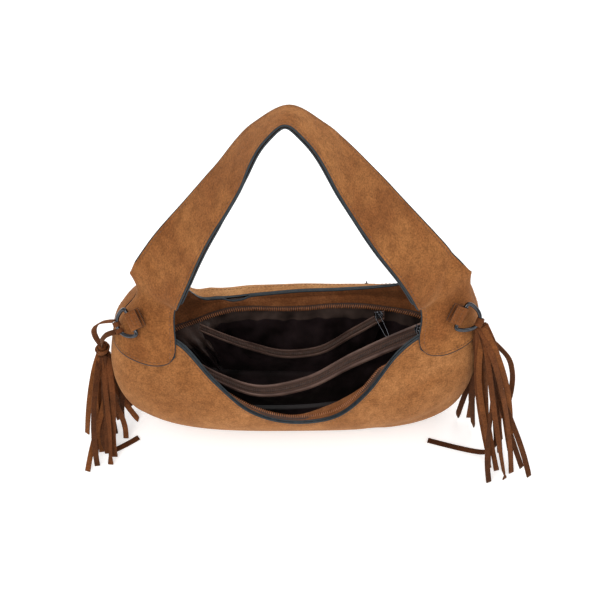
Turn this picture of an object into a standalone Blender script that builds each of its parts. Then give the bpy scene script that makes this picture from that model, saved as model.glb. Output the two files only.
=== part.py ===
"""Slouching suede shoulder bag with a wide leaf handle, open zip mouth and lace tassels.

Metres, +Z up.  The bag stands on its base, its front faces -Y and its mouth is open.
Every suede, lining and zip piece follows the one body surface that `on_body` gives:
a rounded oblong section whose width and depth change with height.
"""
import math

import bmesh
import bpy
import numpy as np
from mathutils import Matrix, Vector

# ---------------------------------------------------------------- driving dimensions
LEATHER = 0.0018          # suede with its backing
CLOTH = 0.0009            # lining cloth
GAP = 0.0004              # clearance between neighbouring pieces
FACING_INSET = 0.0036     # facing's outer side behind the panels' outer surface
LINING_INSET = 0.0076     # lining's outer side behind the panels' outer surface
CORNER = 2.9              # squareness of the horizontal section
COLUMNS = 37              # columns of points round half of the body
LEAF_COLUMNS = 7          # columns of points across a handle leaf

# Height, half width, front depth, rear depth, centre shift in X, centre shift in Y, skew.
PROFILE = np.array([
    [0.000, 0.142, 0.033, 0.046, -0.003, 0.000, 0.000],
    [0.015, 0.157, 0.044, 0.058, -0.003, 0.000, 0.000],
    [0.040, 0.174, 0.059, 0.070, -0.004, 0.000, 0.010],
    [0.075, 0.186, 0.0745, 0.0775, -0.005, 0.000, 0.020],
    [0.110, 0.191, 0.076, 0.0785, -0.005, 0.000, 0.030],
    [0.150, 0.188, 0.066, 0.070, -0.004, 0.000, 0.040],
    [0.185, 0.176, 0.050, 0.054, -0.001, 0.002, 0.035],
    [0.215, 0.163, 0.034, 0.037, 0.004, 0.006, 0.020],
    [0.240, 0.167, 0.014, 0.016, 0.000, 0.010, 0.000],
    [0.252, 0.171, 0.006, 0.006, 0.000, 0.012, 0.000],
])

# Mouth edges: position across the bag and height.
FRONT_RIM = [(-0.190, 0.190), (-0.140, 0.190), (-0.122, 0.187), (-0.085, 0.149), (-0.050, 0.108),
             (-0.020, 0.089), (0.012, 0.086), (0.040, 0.098), (0.070, 0.133), (0.096, 0.170),
             (0.118, 0.186), (0.140, 0.190), (0.190, 0.190)]
BACK_RIM = [(-0.190, 0.172), (-0.140, 0.170), (-0.128, 0.148), (-0.112, 0.110), (-0.088, 0.101),
            (-0.045, 0.103), (0.000, 0.108), (0.045, 0.110), (0.085, 0.118), (0.110, 0.130),
            (0.130, 0.158), (0.145, 0.172), (0.190, 0.174)]
# Line that the mouth zip's rear tape follows: position across the bag and height of its top edge.
BACK_ZIP = [(-0.190, 0.079), (-0.127, 0.0870), (-0.098, 0.0960), (-0.081, 0.1000), (-0.055, 0.1010),
            (-0.024, 0.0985), (0.007, 0.0990), (0.033, 0.1015), (0.067, 0.1025), (0.102, 0.1010),
            (0.190, 0.0930)]
# Fullness of the rear panel, where its outside pocket is: position across and distance outwards.
BACK_FULL = [(-0.190, 0.000), (-0.165, 0.004), (-0.135, 0.014), (-0.105, 0.020), (-0.065, 0.019),
             (-0.020, 0.015), (0.030, 0.012), (0.070, 0.009), (0.120, 0.003), (0.150, 0.000), (0.190, 0.000)]
FULL_ROLL = 0.010         # distance below the rim over which the rear panel turns in
FULL_LOW = 0.070          # height below which the fullness fades to the foot
FULL_HIGH = 0.142         # height above which there is none, below the handle's flaps
FULL_FADE = 0.030
FLAP_FOOT = 0.164         # height of the handle's end flaps' lower edge
FOLD_TOP = 0.240          # height where the two leaves have closed up

# The handle's inner edge (hole side) and outer edge above the fold, left to right.
ARM_INNER = [(-0.1215, -0.0390, 0.226), (-0.1085, -0.0330, 0.260), (-0.088, -0.024, 0.313),
             (-0.0555, -0.008, 0.376), (-0.028, 0.008, 0.431), (-0.013, 0.012, 0.4445),
             (0.002, 0.008, 0.431), (0.037, -0.010, 0.370), (0.0685, -0.023, 0.313),
             (0.0995, -0.033, 0.2635), (0.1165, -0.0385, 0.226)]
ARM_OUTER = [(-0.166, 0.008, 0.238), (-0.1405, 0.018, 0.279), (-0.1065, 0.031, 0.320),
             (-0.0785, 0.040, 0.356), (-0.040, 0.049, 0.407), (-0.010, 0.052, 0.4255),
             (0.022, 0.050, 0.404), (0.0695, 0.038, 0.354), (0.100, 0.029, 0.317),
             (0.137, 0.016, 0.274), (0.166, 0.008, 0.236)]

RING_WIRE = 0.0020        # D ring wire radius
RING_BAR = 0.0290         # D ring bar between its corners, on the wire's centre line
RING_DEPTH = 0.0215       # D ring from the bar to the top of its arc
TAB_WIDTH = 0.0180        # suede tab along the bar
TAB_LENGTH = 0.0120       # its two layers above the bar
TAB_LEATHER = 0.0013
# Ring bars: centre, outward normal of the suede there, bar direction, hanging direction.
RINGS = {
    "left": ((-0.1667, -0.0285, 0.2035), (-0.50, -0.67, 0.55), (0.43, -0.74, -0.515),
             (-0.674, 0.116, -0.730)),
    "right": ((0.1595, -0.0223, 0.2046), (0.47, -0.78, 0.41), (-0.42, -0.60, -0.68),
              (0.750, -0.150, -0.640)),
}

# Tassel bundles: middle line, then half widths across the bag and front to back.
TASSELS = {
    "left": [((-0.2080, -0.0140, 0.1180), (0.007, 0.006)), ((-0.2130, -0.0220, 0.0930), (0.013, 0.012)),
             ((-0.2140, -0.0360, 0.0550), (0.018, 0.017)), ((-0.2130, -0.0560, 0.0020), (0.021, 0.024))],
    "right": [((0.1855, -0.0265, 0.1800), (0.004, 0.004)), ((0.2050, -0.0330, 0.1350), (0.013, 0.011)),
              ((0.2130, -0.0440, 0.0850), (0.020, 0.018)), ((0.2180, -0.0720, 0.0020), (0.024, 0.026))],
}
KNOT = ((-0.2045, -0.0120, 0.1275), 0.0075, 0.0065)     # left tassel's knot: centre, radius, half height
LACE = 0.0040             # lace tube diameter, equal in section to the flat lace
# Laces apart from the bundles: the pair that joins ring and knot, and strays that lie or hang loose.
STRAY_LACES = {
    "left_tassel_loop": [(-0.1850, -0.0270, 0.1800), (-0.1930, -0.0240, 0.1670), (-0.1990, -0.0200, 0.1540),
                         (-0.2040, -0.0130, 0.1370)],
    "left_stray_lace": [(-0.1885, -0.0560, 0.0026), (-0.1800, -0.0500, 0.0026), (-0.1700, -0.0450, 0.0026)],
    "right_stray_lace": [(0.1900, -0.0640, 0.0026), (0.1730, -0.0600, 0.0026), (0.1560, -0.0540, 0.0026),
                         (0.1400, -0.0490, 0.0026)],
    "right_outer_lace": [(0.2165, -0.0140, 0.1165), (0.2225, -0.0130, 0.0980), (0.2285, -0.0120, 0.0700),
                         (0.2290, -0.0120, 0.0380)],
}

# Zip hardware.
SLIDER = (0.0090, 0.0074, 0.0030)     # along, across and thickness
BRIDGE_RISE = 0.0050
BRIDGE_SPAN = 0.0060
WIRE = 0.0007
EYE = 0.0027                          # puller's eye, on its wire's centre line
BAND = 0.0120                         # width of a closed zip with its tapes

# Top edges of the inner pockets, left to right.
DIVIDER_TOP = [(-0.158, 0.004, 0.116), (-0.120, -0.014, 0.110), (-0.086, -0.027, 0.095),
               (-0.045, -0.031, 0.075), (0.006, -0.028, 0.085), (0.055, -0.015, 0.110),
               (0.090, -0.006, 0.125), (0.1285, 0.0036, 0.1390)]
POCKET_TOP = [(-0.122, 0.044, 0.093), (-0.097, 0.038, 0.083), (-0.055, 0.034, 0.062),
              (-0.016, 0.033, 0.0475), (0.020, 0.0345, 0.052), (0.0576, 0.040, 0.0800),
              (0.0900, 0.0478, 0.1010)]
MAIN_SLIDER = (0.1480, 0.0020, 0.1580)             # mouth zip's slider, where its two tapes meet
POCKET_FOOT = (0.80, 0.35, 0.0)                    # a pocket's bottom edge as shares of its top edge
POCKET_CLOTH = 0.0006                              # half the gap between the divider's two walls
BAND_LIFT = 0.0020                                 # an inner zip above its pocket's top edge
BAND_THICK = 0.0016
BAND_WAY = (0.0, 0.80, 0.45)                       # direction across an inner zip
OUTER_ZIP = ((-0.080, 0.076), (0.084, 0.091))      # ends of the back panel's outside zip: across, height
OUTER_STAND = 0.0008                               # outside zip above the suede
OUTER_THICK = 0.0016
FORWARD = (0.0, -1.0, -0.7)                        # way that the inner pullers hang

SUEDE = ("suede", (0.31, 0.15, 0.055), 0.95, 0.0)
SUEDE_LACE = ("suede_lace", (0.19, 0.07, 0.025), 0.95, 0.0)
SATIN = ("lining_satin", (0.035, 0.024, 0.020), 0.45, 0.0)
TAPE = ("zip_tape", (0.055, 0.033, 0.024), 0.85, 0.0)
METAL = ("gunmetal", (0.12, 0.12, 0.13), 0.22, 1.0)


# ---------------------------------------------------------------- helpers
def clear_scene():
    """Remove whatever the scene holds."""
    for thing in list(bpy.data.objects):
        bpy.data.objects.remove(thing, do_unlink=True)


def material(finish):
    """Principled material of one finish, made once."""
    name, colour, roughness, metallic = finish
    found = bpy.data.materials.get(name)
    if found:
        return found
    made = bpy.data.materials.new(name)
    made.use_nodes = True
    shader = made.node_tree.nodes["Principled BSDF"]
    shader.inputs["Base Color"].default_value = (*colour, 1.0)
    shader.inputs["Roughness"].default_value = roughness
    shader.inputs["Metallic"].default_value = metallic
    made.diffuse_color = (*colour, 1.0)
    return made


def through(knots, values, at):
    """Smooth curve through the values at the knots (cubic pieces with matched slopes)."""
    knots = np.asarray(knots, float)
    values = np.asarray(values, float)
    span = np.diff(knots)
    slope = np.diff(values, axis=0) / span.reshape(-1, *[1] * (values.ndim - 1))
    before = span[:-1].reshape(-1, *[1] * (values.ndim - 1))
    after = span[1:].reshape(-1, *[1] * (values.ndim - 1))
    tangent = np.empty_like(values)
    tangent[1:-1] = (slope[:-1] * after + slope[1:] * before) / (before + after)
    tangent[0] = 1.5 * slope[0] - 0.5 * tangent[1]
    tangent[-1] = 1.5 * slope[-1] - 0.5 * tangent[-2]
    at = np.clip(at, knots[0], knots[-1])
    piece = np.clip(np.searchsorted(knots, at, side="right") - 1, 0, len(span) - 1)
    wide = at.shape + (1,) * (values.ndim - 1)
    part = ((at - knots[piece]) / span[piece]).reshape(wide)
    length = span[piece].reshape(wide)
    return (values[piece] * (2 * part**3 - 3 * part**2 + 1)
            + tangent[piece] * length * (part**3 - 2 * part**2 + part)
            + values[piece + 1] * (-2 * part**3 + 3 * part**2)
            + tangent[piece + 1] * length * (part**3 - part**2))


def smooth_path(points, count):
    """Evenly spaced points on a smooth curve through the given ones."""
    points = np.asarray(points, float)
    run = np.concatenate([[0.0], np.cumsum(np.linalg.norm(np.diff(points, axis=0), axis=1))])
    return through(run, points, np.linspace(0.0, run[-1], count))


def rim_height(rim, across):
    """Height of a mouth edge at a position across the bag."""
    rim = np.asarray(rim)
    return through(rim[:, 0], rim[:, 1], np.asarray(across, float))


def on_body(turn, height, out=0.0, rear=False):
    """Point of the body surface: turn 0 is the right side, 1 the left, moved out by `out`."""
    turn, height = np.broadcast_arrays(np.asarray(turn, float), np.asarray(height, float))
    wide, front, back, shift_x, shift_y, skew = np.moveaxis(
        through(PROFILE[:, 0], PROFILE[:, 1:], height), -1, 0)
    depth = (back if rear else front) + out
    cos = np.cos(math.pi * turn)
    sin = np.sin(math.pi * turn)
    x = (wide + out) * np.sign(cos) * np.abs(cos) ** (2 / CORNER)
    y = depth * np.abs(sin) ** (2 / CORNER)
    y = y if rear else -y
    return np.stack([shift_x + x, shift_y + y + skew * x, height], -1)


def turn_at(across, height, out=0.0):
    """Turn that gives a position across the bag at a height."""
    wide, _, _, shift_x, _, _ = np.moveaxis(
        through(PROFILE[:, 0], PROFILE[:, 1:], np.asarray(height, float)), -1, 0)
    part = np.clip((np.asarray(across) - shift_x) / (wide + out), -1.0, 1.0)
    return np.arccos(np.sign(part) * np.abs(part) ** (CORNER / 2)) / math.pi


def even_turns(skip=0):
    """Turns that lie evenly round a half section, less a few at each end."""
    even = np.linspace(0.0, 1.0, 401)
    points = on_body(even, np.full(401, 0.1))
    run = np.concatenate([[0.0], np.cumsum(np.linalg.norm(np.diff(points, axis=0), axis=1))])
    turns = np.interp(np.linspace(0.002, 0.998, COLUMNS), run / run[-1], even)
    return turns[skip:COLUMNS - skip]


def turns_under(rim, turns, out=0.0, drop=0.0):
    """Height of a mouth edge above each turn, found by closing in on it."""
    across = on_body(turns, 0.1)[:, 0]
    for _ in range(6):
        top = rim_height(rim, across) - drop
        across = on_body(turns, top, out)[:, 0]
    return top


def fullness(turns, height):
    """Distance that the rear panel stands out: none at its foot, its rim and its sides."""
    full = np.array(BACK_FULL)
    across = on_body(turns, height)[..., 0]
    rim = rim_height(BACK_RIM, across)
    share = np.clip((rim - height) / FULL_ROLL, 0.0, 1.0)
    low = np.clip(height / FULL_LOW, 0.0, 1.0)
    high = np.clip((FULL_HIGH - height) / FULL_FADE, 0.0, 1.0)
    return through(full[:, 0], full[:, 1], across) * share * (2.0 - share) * low * low * (3.0 - 2.0 * low) * high


def add_object(name, mesh, finish):
    """Link a mesh as a named object with its finish."""
    made = bpy.data.objects.new(name, mesh)
    bpy.context.collection.objects.link(made)
    mesh.materials.append(material(finish))
    return made


def solid_from(name, verts, faces, finish, smooth=True):
    """Closed solid from vertices and faces, its faces turned outwards."""
    mesh = bpy.data.meshes.new(name)
    work = bmesh.new()
    made = [work.verts.new(v) for v in verts]
    for face in faces:
        work.faces.new([made[i] for i in face])
    bmesh.ops.recalc_face_normals(work, faces=work.faces)
    work.to_mesh(mesh)
    work.free()
    if smooth:
        mesh.shade_smooth()
    return add_object(name, mesh, finish)


def sheet_solid(name, outer, inner, finish):
    """Closed sheet between an outer and an inner grid of points."""
    rows, columns = outer.shape[:2]
    count = rows * columns
    verts = np.concatenate([outer.reshape(-1, 3), inner.reshape(-1, 3)])
    index = np.arange(count).reshape(rows, columns)
    faces = []
    for i in range(rows - 1):
        for j in range(columns - 1):
            a, b = index[i, j], index[i, j + 1]
            c, d = index[i + 1, j + 1], index[i + 1, j]
            faces.append((a, b, c, d))
            faces.append((a + count, d + count, c + count, b + count))
    border = [*index[0, :], *index[1:, -1], *index[-1, -2::-1], *index[-2:0:-1, 0]]
    for a, b in zip(border, border[1:] + border[:1]):
        faces.append((b, a, a + count, b + count))
    return solid_from(name, verts, faces, finish)


def along_normal(grid, depth):
    """The grid moved along its own surface normals by a depth."""
    down = np.gradient(grid, axis=0)
    across = np.gradient(grid, axis=1)
    normal = np.cross(down, across)
    normal /= np.maximum(np.linalg.norm(normal, axis=2, keepdims=True), 1e-12)
    return grid + depth * normal


def lofted(name, sections, finish):
    """Closed solid through a row of closed sections with the same number of points."""
    sections = np.asarray(sections)
    rows, sides = sections.shape[:2]
    faces = []
    for i in range(rows - 1):
        for j in range(sides):
            k = (j + 1) % sides
            faces.append((i * sides + j, i * sides + k, (i + 1) * sides + k, (i + 1) * sides + j))
    faces.append(tuple(range(sides)))
    faces.append(tuple(range((rows - 1) * sides, rows * sides)))
    return solid_from(name, sections.reshape(-1, 3), faces, finish)


def closed_tube(name, path, radius, sides, finish):
    """Tube round a closed flat path."""
    path = np.asarray(path)
    middle = path.mean(axis=0)
    ahead = np.roll(path, -1, axis=0) - np.roll(path, 1, axis=0)
    ahead /= np.linalg.norm(ahead, axis=1, keepdims=True)
    flat = np.cross(path[0] - middle, ahead[0])
    flat /= np.linalg.norm(flat)
    side = np.cross(ahead, flat)
    angle = np.linspace(0.0, 2.0 * math.pi, sides, endpoint=False)
    ring = (path[:, None] + radius * (np.cos(angle)[None, :, None] * side[:, None]
                                      + np.sin(angle)[None, :, None] * flat))
    count = len(path)
    faces = []
    for i in range(count):
        for j in range(sides):
            k = (j + 1) % sides
            n = (i + 1) % count
            faces.append((i * sides + j, i * sides + k, n * sides + k, n * sides + j))
    return solid_from(name, ring.reshape(-1, 3), faces, finish)


def lace(name, points):
    """Plain tube along a lace's route."""
    path = smooth_path(points, 22)
    curve = bpy.data.curves.new(name, "CURVE")
    curve.dimensions = "3D"
    curve.bevel_depth = LACE / 2
    curve.bevel_resolution = 2
    curve.use_fill_caps = True
    spline = curve.splines.new("POLY")
    spline.points.add(len(path) - 1)
    for point, place in zip(spline.points, path):
        point.co = (*place, 1.0)
    made = bpy.data.objects.new(name, curve)
    bpy.context.collection.objects.link(made)
    curve.materials.append(material(SUEDE_LACE))
    return made


# ---------------------------------------------------------------- suede body
def base_panel():
    """Flat oval base that the bag stands on."""
    turns = even_turns()
    front = on_body(turns, 0.0, -0.0006)
    back = on_body(turns[::-1], 0.0, -0.0006, rear=True)
    outline = np.concatenate([front, back])
    top = outline + (0.0, 0.0, 0.0030)
    lofted("base_panel", [outline, top], SUEDE)


def outer_panel(name, rim, rear):
    """Front or back panel, from the base seam up to the mouth."""
    turns = even_turns()
    foot = 0.0034
    part = np.array([0.0, 0.04, 0.12, 0.26, 0.42, 0.60, 0.80, 1.0])[:, None]
    top = turns_under(rim, turns)
    height = foot + (top - foot)[None, :] * part
    full = fullness(turns[None, :], height) if rear else 0.0
    outer = on_body(turns[None, :], height, full, rear)
    inner = on_body(turns[None, :], height, full - LEATHER, rear)
    sheet_solid(name, outer, inner, SUEDE)


def facing(name, rim, rear, foot, drop):
    """Suede strip turned down inside the mouth, to a distance below the foot line."""
    turns = even_turns(5)
    top = turns_under(rim, turns)
    low = turns_under(foot, turns) - drop
    height = top[None, :] - np.linspace(0.0, 1.0, 3)[:, None] * (top - low)[None, :]
    outer = on_body(turns[None, :], height, -FACING_INSET, rear)
    inner = on_body(turns[None, :], height, -FACING_INSET - LEATHER, rear)
    sheet_solid(name, outer, inner, SUEDE)


def mouth_tape(name, rim, rear, drop):
    """Zip tape with its row of teeth, below a facing."""
    turns = even_turns(6)
    start = turns_under(rim, turns) - drop - GAP
    height = start[None, :] - np.linspace(0.0, 1.0, 3)[:, None] * 0.012
    inset = -FACING_INSET - np.array([0.0004, 0.0045, 0.0090])[:, None]
    outer = on_body(turns[None, :], height, inset, rear)
    inner = on_body(turns[None, :], height, inset - 0.0016, rear)
    sheet_solid(name, outer, inner, TAPE)


def lining(name, rim, rear, drop):
    """Half of the lining bag: a wall and half of the bottom."""
    turns = even_turns(1)
    top = turns_under(rim, turns, 0.0, drop)
    low = 0.0085
    rows = []
    for part, inward in ((1.0, 0.0), (0.75, 0.0), (0.5, 0.0), (0.28, 0.0), (0.1, 0.0), (0.0, 0.12),
                         (0.0, 0.45), (0.0, 1.0)):
        rows.append((part, inward))
    outer_rows = []
    inner_rows = []
    middle = 0.004 if rear else -0.004
    for part, inward in rows:
        height = low + (top - low) * part
        for store, more, lift in ((outer_rows, 0.0, 0.0), (inner_rows, -CLOTH, CLOTH)):
            wall = on_body(turns, height, -LINING_INSET + more, rear)
            bare = 1.0 if inward > 0.0 else 0.0
            wall[:, 2] += lift * bare
            wall[:, 1] = wall[:, 1] * (1 - inward) + middle * inward * 0.1
            wall[:, 0] *= 1 - 0.02 * inward
            store.append(wall)
    sheet_solid(name, np.array(outer_rows), np.array(inner_rows), SATIN)


# ---------------------------------------------------------------- handle
def leaf_inner_edge(side, rear):
    """Inner edge of a leaf below the arms: height and position across."""
    if side == "left":
        foot = [(FLAP_FOOT, -0.1300), (0.185, -0.1290)] if rear else [(FLAP_FOOT, -0.1270), (0.188, -0.1232)]
        return np.array(foot + [(0.208, -0.1240), (FOLD_TOP, -0.1180)])
    foot = [(FLAP_FOOT, 0.1290), (0.185, 0.1280)] if rear else [(FLAP_FOOT, 0.1265), (0.184, 0.1185)]
    return np.array(foot + [(0.208, 0.1200), (FOLD_TOP, 0.1130)])


def flap_rows(side, rear, out):
    """Rows of an end flap from its foot up to the fold, each from inner edge to side fold."""
    columns = np.linspace(0.0, 1.0, LEAF_COLUMNS)
    knots = leaf_inner_edge(side, rear)
    arm_end = np.array(ARM_INNER[0 if side == "left" else -1])
    rows = []
    for part in np.linspace(0.0, 1.0, 7):
        height = FLAP_FOOT + (FOLD_TOP - 0.006 - FLAP_FOOT) * part
        inner_x = through(knots[:, 0], knots[:, 1], np.array([height]))[0]
        start = turn_at(inner_x, height, out)
        end = 0.998 if side == "left" else 0.002
        wrapped = on_body(start + (end - start) * columns, height, out, rear)
        lead = 0.006 + out if rear else 0.001 - out
        reach = wrapped[0][1] * (1 - part**2) + (arm_end[1] + lead) * part**2
        inner_at = np.array([wrapped[0][0], reach, height])
        flat = inner_at + (wrapped[-1] - inner_at) * columns[:, None]
        mix = np.clip((part - 0.35) / 0.65, 0.0, 1.0) ** 2
        rows.append(wrapped * (1 - mix) + flat * mix)
    return np.array(rows)


def handle_leaf(name, rear):
    """One leaf of the handle with its two end flaps."""
    inner_edge = smooth_path(ARM_INNER, 37)
    outer_edge = smooth_path(ARM_OUTER, 37)
    columns = np.linspace(0.0, 1.0, LEAF_COLUMNS)[None, :, None]
    arm = (inner_edge[:, None] + (outer_edge - inner_edge)[:, None] * columns)[1:-1]
    ease = np.sin(np.linspace(0.0, math.pi, len(arm)))[:, None, None] ** 0.5
    gap = 0.0004 + 0.0010 * (1.0 - ease)
    turn = 1.0 if rear else -1.0
    step = along_normal(arm, -turn) - arm
    near = arm + step * gap
    far = arm + step * (gap + LEATHER)
    close = 0.0010
    inner = np.concatenate([flap_rows("left", rear, close), near,
                            flap_rows("right", rear, close)[::-1]])
    outer = np.concatenate([flap_rows("left", rear, close + LEATHER), far,
                            flap_rows("right", rear, close + LEATHER)[::-1]])
    sheet_solid(name, outer, inner, SUEDE)


# ---------------------------------------------------------------- rings and tassels
def axes_of(normal, bar, hang):
    """Unit bar, hanging and normal directions, square to each other."""
    bar = Vector(bar).normalized()
    hang = Vector(hang)
    hang = (hang - bar * hang.dot(bar)).normalized()
    normal = Vector(normal)
    normal = (normal - bar * normal.dot(bar)).normalized()
    return np.array(bar), np.array(hang), np.array(normal)


def d_ring(side):
    """Wire D ring: a straight bar closed by an arc."""
    centre, normal, bar, hang = RINGS[side]
    bar, hang, _ = axes_of(normal, bar, hang)
    straight = np.linspace(-0.5, 0.5, 13)[:-1]
    arc = np.linspace(0.0, math.pi, 25)[:-1]
    flat = np.concatenate([np.stack([straight * RING_BAR, 0 * straight], -1),
                           np.stack([np.cos(arc) * RING_BAR / 2, np.sin(arc) * RING_DEPTH], -1)])
    for _ in range(2):
        flat = (np.roll(flat, 1, axis=0) + 2 * flat + np.roll(flat, -1, axis=0)) / 4
    flat[:, 1] -= flat[:, 1].min()
    path = flat[:, :1] * bar + flat[:, 1:] * hang
    made = closed_tube(side + "_d_ring", path, RING_WIRE, 8, METAL)
    made.location = centre


def ring_tab(side):
    """Suede strip folded round the ring's bar, both layers sewn to the flap."""
    centre, normal, bar, hang = RINGS[side]
    bar, _, normal = axes_of(normal, bar, hang)
    up = np.cross(bar, normal)
    up *= np.sign(up[2])
    inside = RING_WIRE + 0.0004
    outside = inside + TAB_LEATHER
    angle = np.linspace(0.0, -math.pi, 9)
    loops = []
    for radius in (outside, inside):
        loop = np.stack([radius * np.cos(angle), radius * np.sin(angle)], -1)
        leg = np.array([[radius, TAB_LENGTH]])
        loops.append(np.concatenate([leg, loop, leg * (-1.0, 1.0)]))
    section = np.concatenate([loops[0], loops[1][::-1]])
    ends = []
    for shift in (-TAB_WIDTH / 2, TAB_WIDTH / 2):
        ends.append(section[:, :1] * normal + section[:, 1:] * up + shift * bar)
    made = lofted(side + "_ring_tab", ends, SUEDE)
    made.location = centre


def ellipse_section(centre, half, sides):
    """Flat oval section."""
    angle = np.linspace(0.0, 2.0 * math.pi, sides, endpoint=False)
    return np.stack([centre[0] + half[0] * np.cos(angle), centre[1] + half[1] * np.sin(angle),
                     centre[2] + 0 * angle], -1)


def tassel_bundle(side):
    """Outer shape of a tassel's hanging laces."""
    middles = smooth_path([row[0] for row in TASSELS[side]], 8)
    heights = np.array([row[0][2] for row in TASSELS[side]])[::-1]
    halves = np.array([row[1] for row in TASSELS[side]])[::-1]
    sections = []
    for middle in middles:
        half = through(heights, halves, np.array([middle[2]]))[0]
        sections.append(ellipse_section(middle, half, 14))
    lofted(side + "_tassel_laces", sections, SUEDE_LACE)


def tassel_knot():
    """The left tassel's knot above its laces."""
    centre, radius, half_height = KNOT
    sections = []
    for angle in np.linspace(0.35, math.pi - 0.35, 6):
        wide = radius * math.sin(angle)
        height = centre[2] + half_height * math.cos(angle)
        sections.append(ellipse_section((centre[0], centre[1], height), (wide, wide), 12))
    lofted("left_tassel_knot", sections, SUEDE_LACE)


# ---------------------------------------------------------------- zips and pockets
def join_to(main, other):
    """Union another solid into the main one and keep it only as a hidden guide."""
    union = main.modifiers.new("join", "BOOLEAN")
    union.operation = "UNION"
    union.object = other
    other.hide_render = True
    other.display_type = "WIRE"


def frame_from(place, along, up):
    """Matrix whose X runs along a zip and Z stands out of it."""
    along = Vector(along).normalized()
    up = Vector(up)
    up = (up - along * up.dot(along)).normalized()
    turn = Matrix((along, up.cross(along), up)).transposed().to_4x4()
    return Matrix.Translation(Vector(place)) @ turn


def tube_along(name, points, radius, sides, finish):
    """Open tube with flat ends along a path in the XZ plane."""
    points = np.asarray(points, float)
    ahead = np.gradient(points, axis=0)
    ahead /= np.linalg.norm(ahead, axis=1, keepdims=True)
    side = np.array([0.0, 1.0, 0.0])
    angle = np.linspace(0.0, 2.0 * math.pi, sides, endpoint=False)
    sections = []
    for point, forward in zip(points, ahead):
        lift = np.cross(forward, side)
        sections.append(point + radius * (np.cos(angle)[:, None] * side + np.sin(angle)[:, None] * lift))
    return lofted(name, sections, finish)


def zip_slider(name, place, along, up):
    """Slider block with a bridge that holds the puller's eye."""
    long, wide, thick = SLIDER
    mesh = bpy.data.meshes.new(name)
    work = bmesh.new()
    bmesh.ops.create_cube(work, size=1.0)
    bmesh.ops.scale(work, vec=(long, wide, thick), verts=work.verts)
    bmesh.ops.translate(work, vec=(0.0, 0.0, thick / 2), verts=work.verts)
    upright = [e for e in work.edges if abs(e.verts[0].co.z - e.verts[1].co.z) > thick / 2]
    bmesh.ops.bevel(work, geom=upright, offset=0.0018, segments=2, affect="EDGES")
    work.to_mesh(mesh)
    work.free()
    block = add_object(name, mesh, METAL)
    angle = np.linspace(math.pi, 0.0, 9)
    lift = np.abs(np.sin(angle)) ** 0.6 * BRIDGE_RISE
    arch = np.stack([np.cos(angle) * BRIDGE_SPAN / 2, 0 * angle, thick - 0.0008 + lift], -1)
    bridge = tube_along(name + "_bridge", arch, WIRE, 6, METAL)
    frame = frame_from(place, along, up)
    block.matrix_world = frame
    bridge.matrix_world = frame
    join_to(block, bridge)


def zip_puller(name, place, along, up, down, length):
    """Puller hanging from a slider's bridge: an eye round the bridge and a long flat grip."""
    frame = frame_from(place, along, up)
    pivot = frame @ Vector((0.0, 0.0, SLIDER[2] - 0.0008 + BRIDGE_RISE))
    axis = Vector(along).normalized()
    down = Vector(down)
    down = (down - axis * down.dot(axis)).normalized()
    side = axis.cross(down)
    angle = np.linspace(0.0, 2.0 * math.pi, 15)[:-1]
    path = (EYE * np.cos(angle)[:, None] * np.array(down) + EYE * np.sin(angle)[:, None] * np.array(side))
    reach = EYE - 2 * WIRE - 0.0003
    path = path + np.array(down) * reach
    eye = closed_tube(name, path, WIRE, 6, METAL)
    grip = []
    for run, wide, thick in ((reach + EYE - 0.0003, 0.0010, 0.0010), (0.45 * length, 0.0024, 0.0009),
                             (0.92 * length, 0.0030, 0.0008), (length, 0.0018, 0.0008)):
        middle = np.array(down) * run
        grip.append([middle + a * wide * np.array(axis) + b * thick * np.array(side)
                     for a, b in ((-1, -1), (1, -1), (1, 1), (-1, 1))])
    blade = lofted(name + "_grip", grip, METAL)
    eye.location = pivot
    blade.location = pivot
    join_to(eye, blade)


def hanging_wall(name, top, low, shift, thick, finish):
    """Cloth wall from a drooping top edge down towards the lining's bottom."""
    edge = smooth_path(top, 15)
    foot = edge * POCKET_FOOT + (0.0, low[0], low[1])
    part = np.linspace(0.0, 1.0, 5)[:, None, None]
    grid = edge[None] * (1 - part) + foot[None] * part
    wall = along_normal(grid, shift)
    sheet_solid(name, wall, along_normal(grid, shift + thick), finish)


def zip_band(name, top, lift, thick):
    """Closed zip with its tapes lying along a pocket's top edge."""
    edge = smooth_path(top, 19) + (0.0, 0.0, lift)
    across = np.array(BAND_WAY) / np.linalg.norm(BAND_WAY) * BAND / 2
    outer = np.stack([edge - across, edge, edge + across])
    sheet_solid(name, outer + (0.0, 0.0, thick), outer, TAPE)


def outer_zip():
    """Outside zip of the back panel: a straight band that stands a little off the suede."""
    (x_low, z_low), (x_high, z_high) = OUTER_ZIP
    across = np.linspace(x_low, x_high, 13)
    height = np.linspace(z_low, z_high, 13)
    rows_in = []
    rows_out = []
    for step in (-0.5, 0.0, 0.5):
        level = height + step * BAND
        turns = turn_at(across, level)
        rows_in.append(on_body(turns, level, fullness(turns, level) + OUTER_STAND, rear=True))
    start, end = rows_in[1][0], rows_in[1][-1]
    chord = start + (end - start) * np.linspace(0.0, 1.0, 13)[:, None]
    proud = (rows_in[1][:, 1] - chord[:, 1]).max() + OUTER_THICK
    for row, step in zip(rows_in, (-0.5, 0.0, 0.5)):
        face = np.array(row)
        face[:, 1] = np.maximum(chord[:, 1] + proud - 0.0006 * abs(step), row[:, 1] + 0.0004)
        rows_out.append(face)
    sheet_solid("outer_zip_tape", np.array(rows_out), np.array(rows_in), TAPE)
    along = (end - start) / np.linalg.norm(end - start)
    place = chord[-2] + (0.0, proud + 0.0005, 0.0)
    zip_slider("outer_zip_slider", place, along, (0.0, 1.0, 0.0))
    zip_puller("outer_zip_puller", place, along, (0.0, 1.0, 0.0), (0.0, 0.25, -1.0), 0.026)


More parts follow.
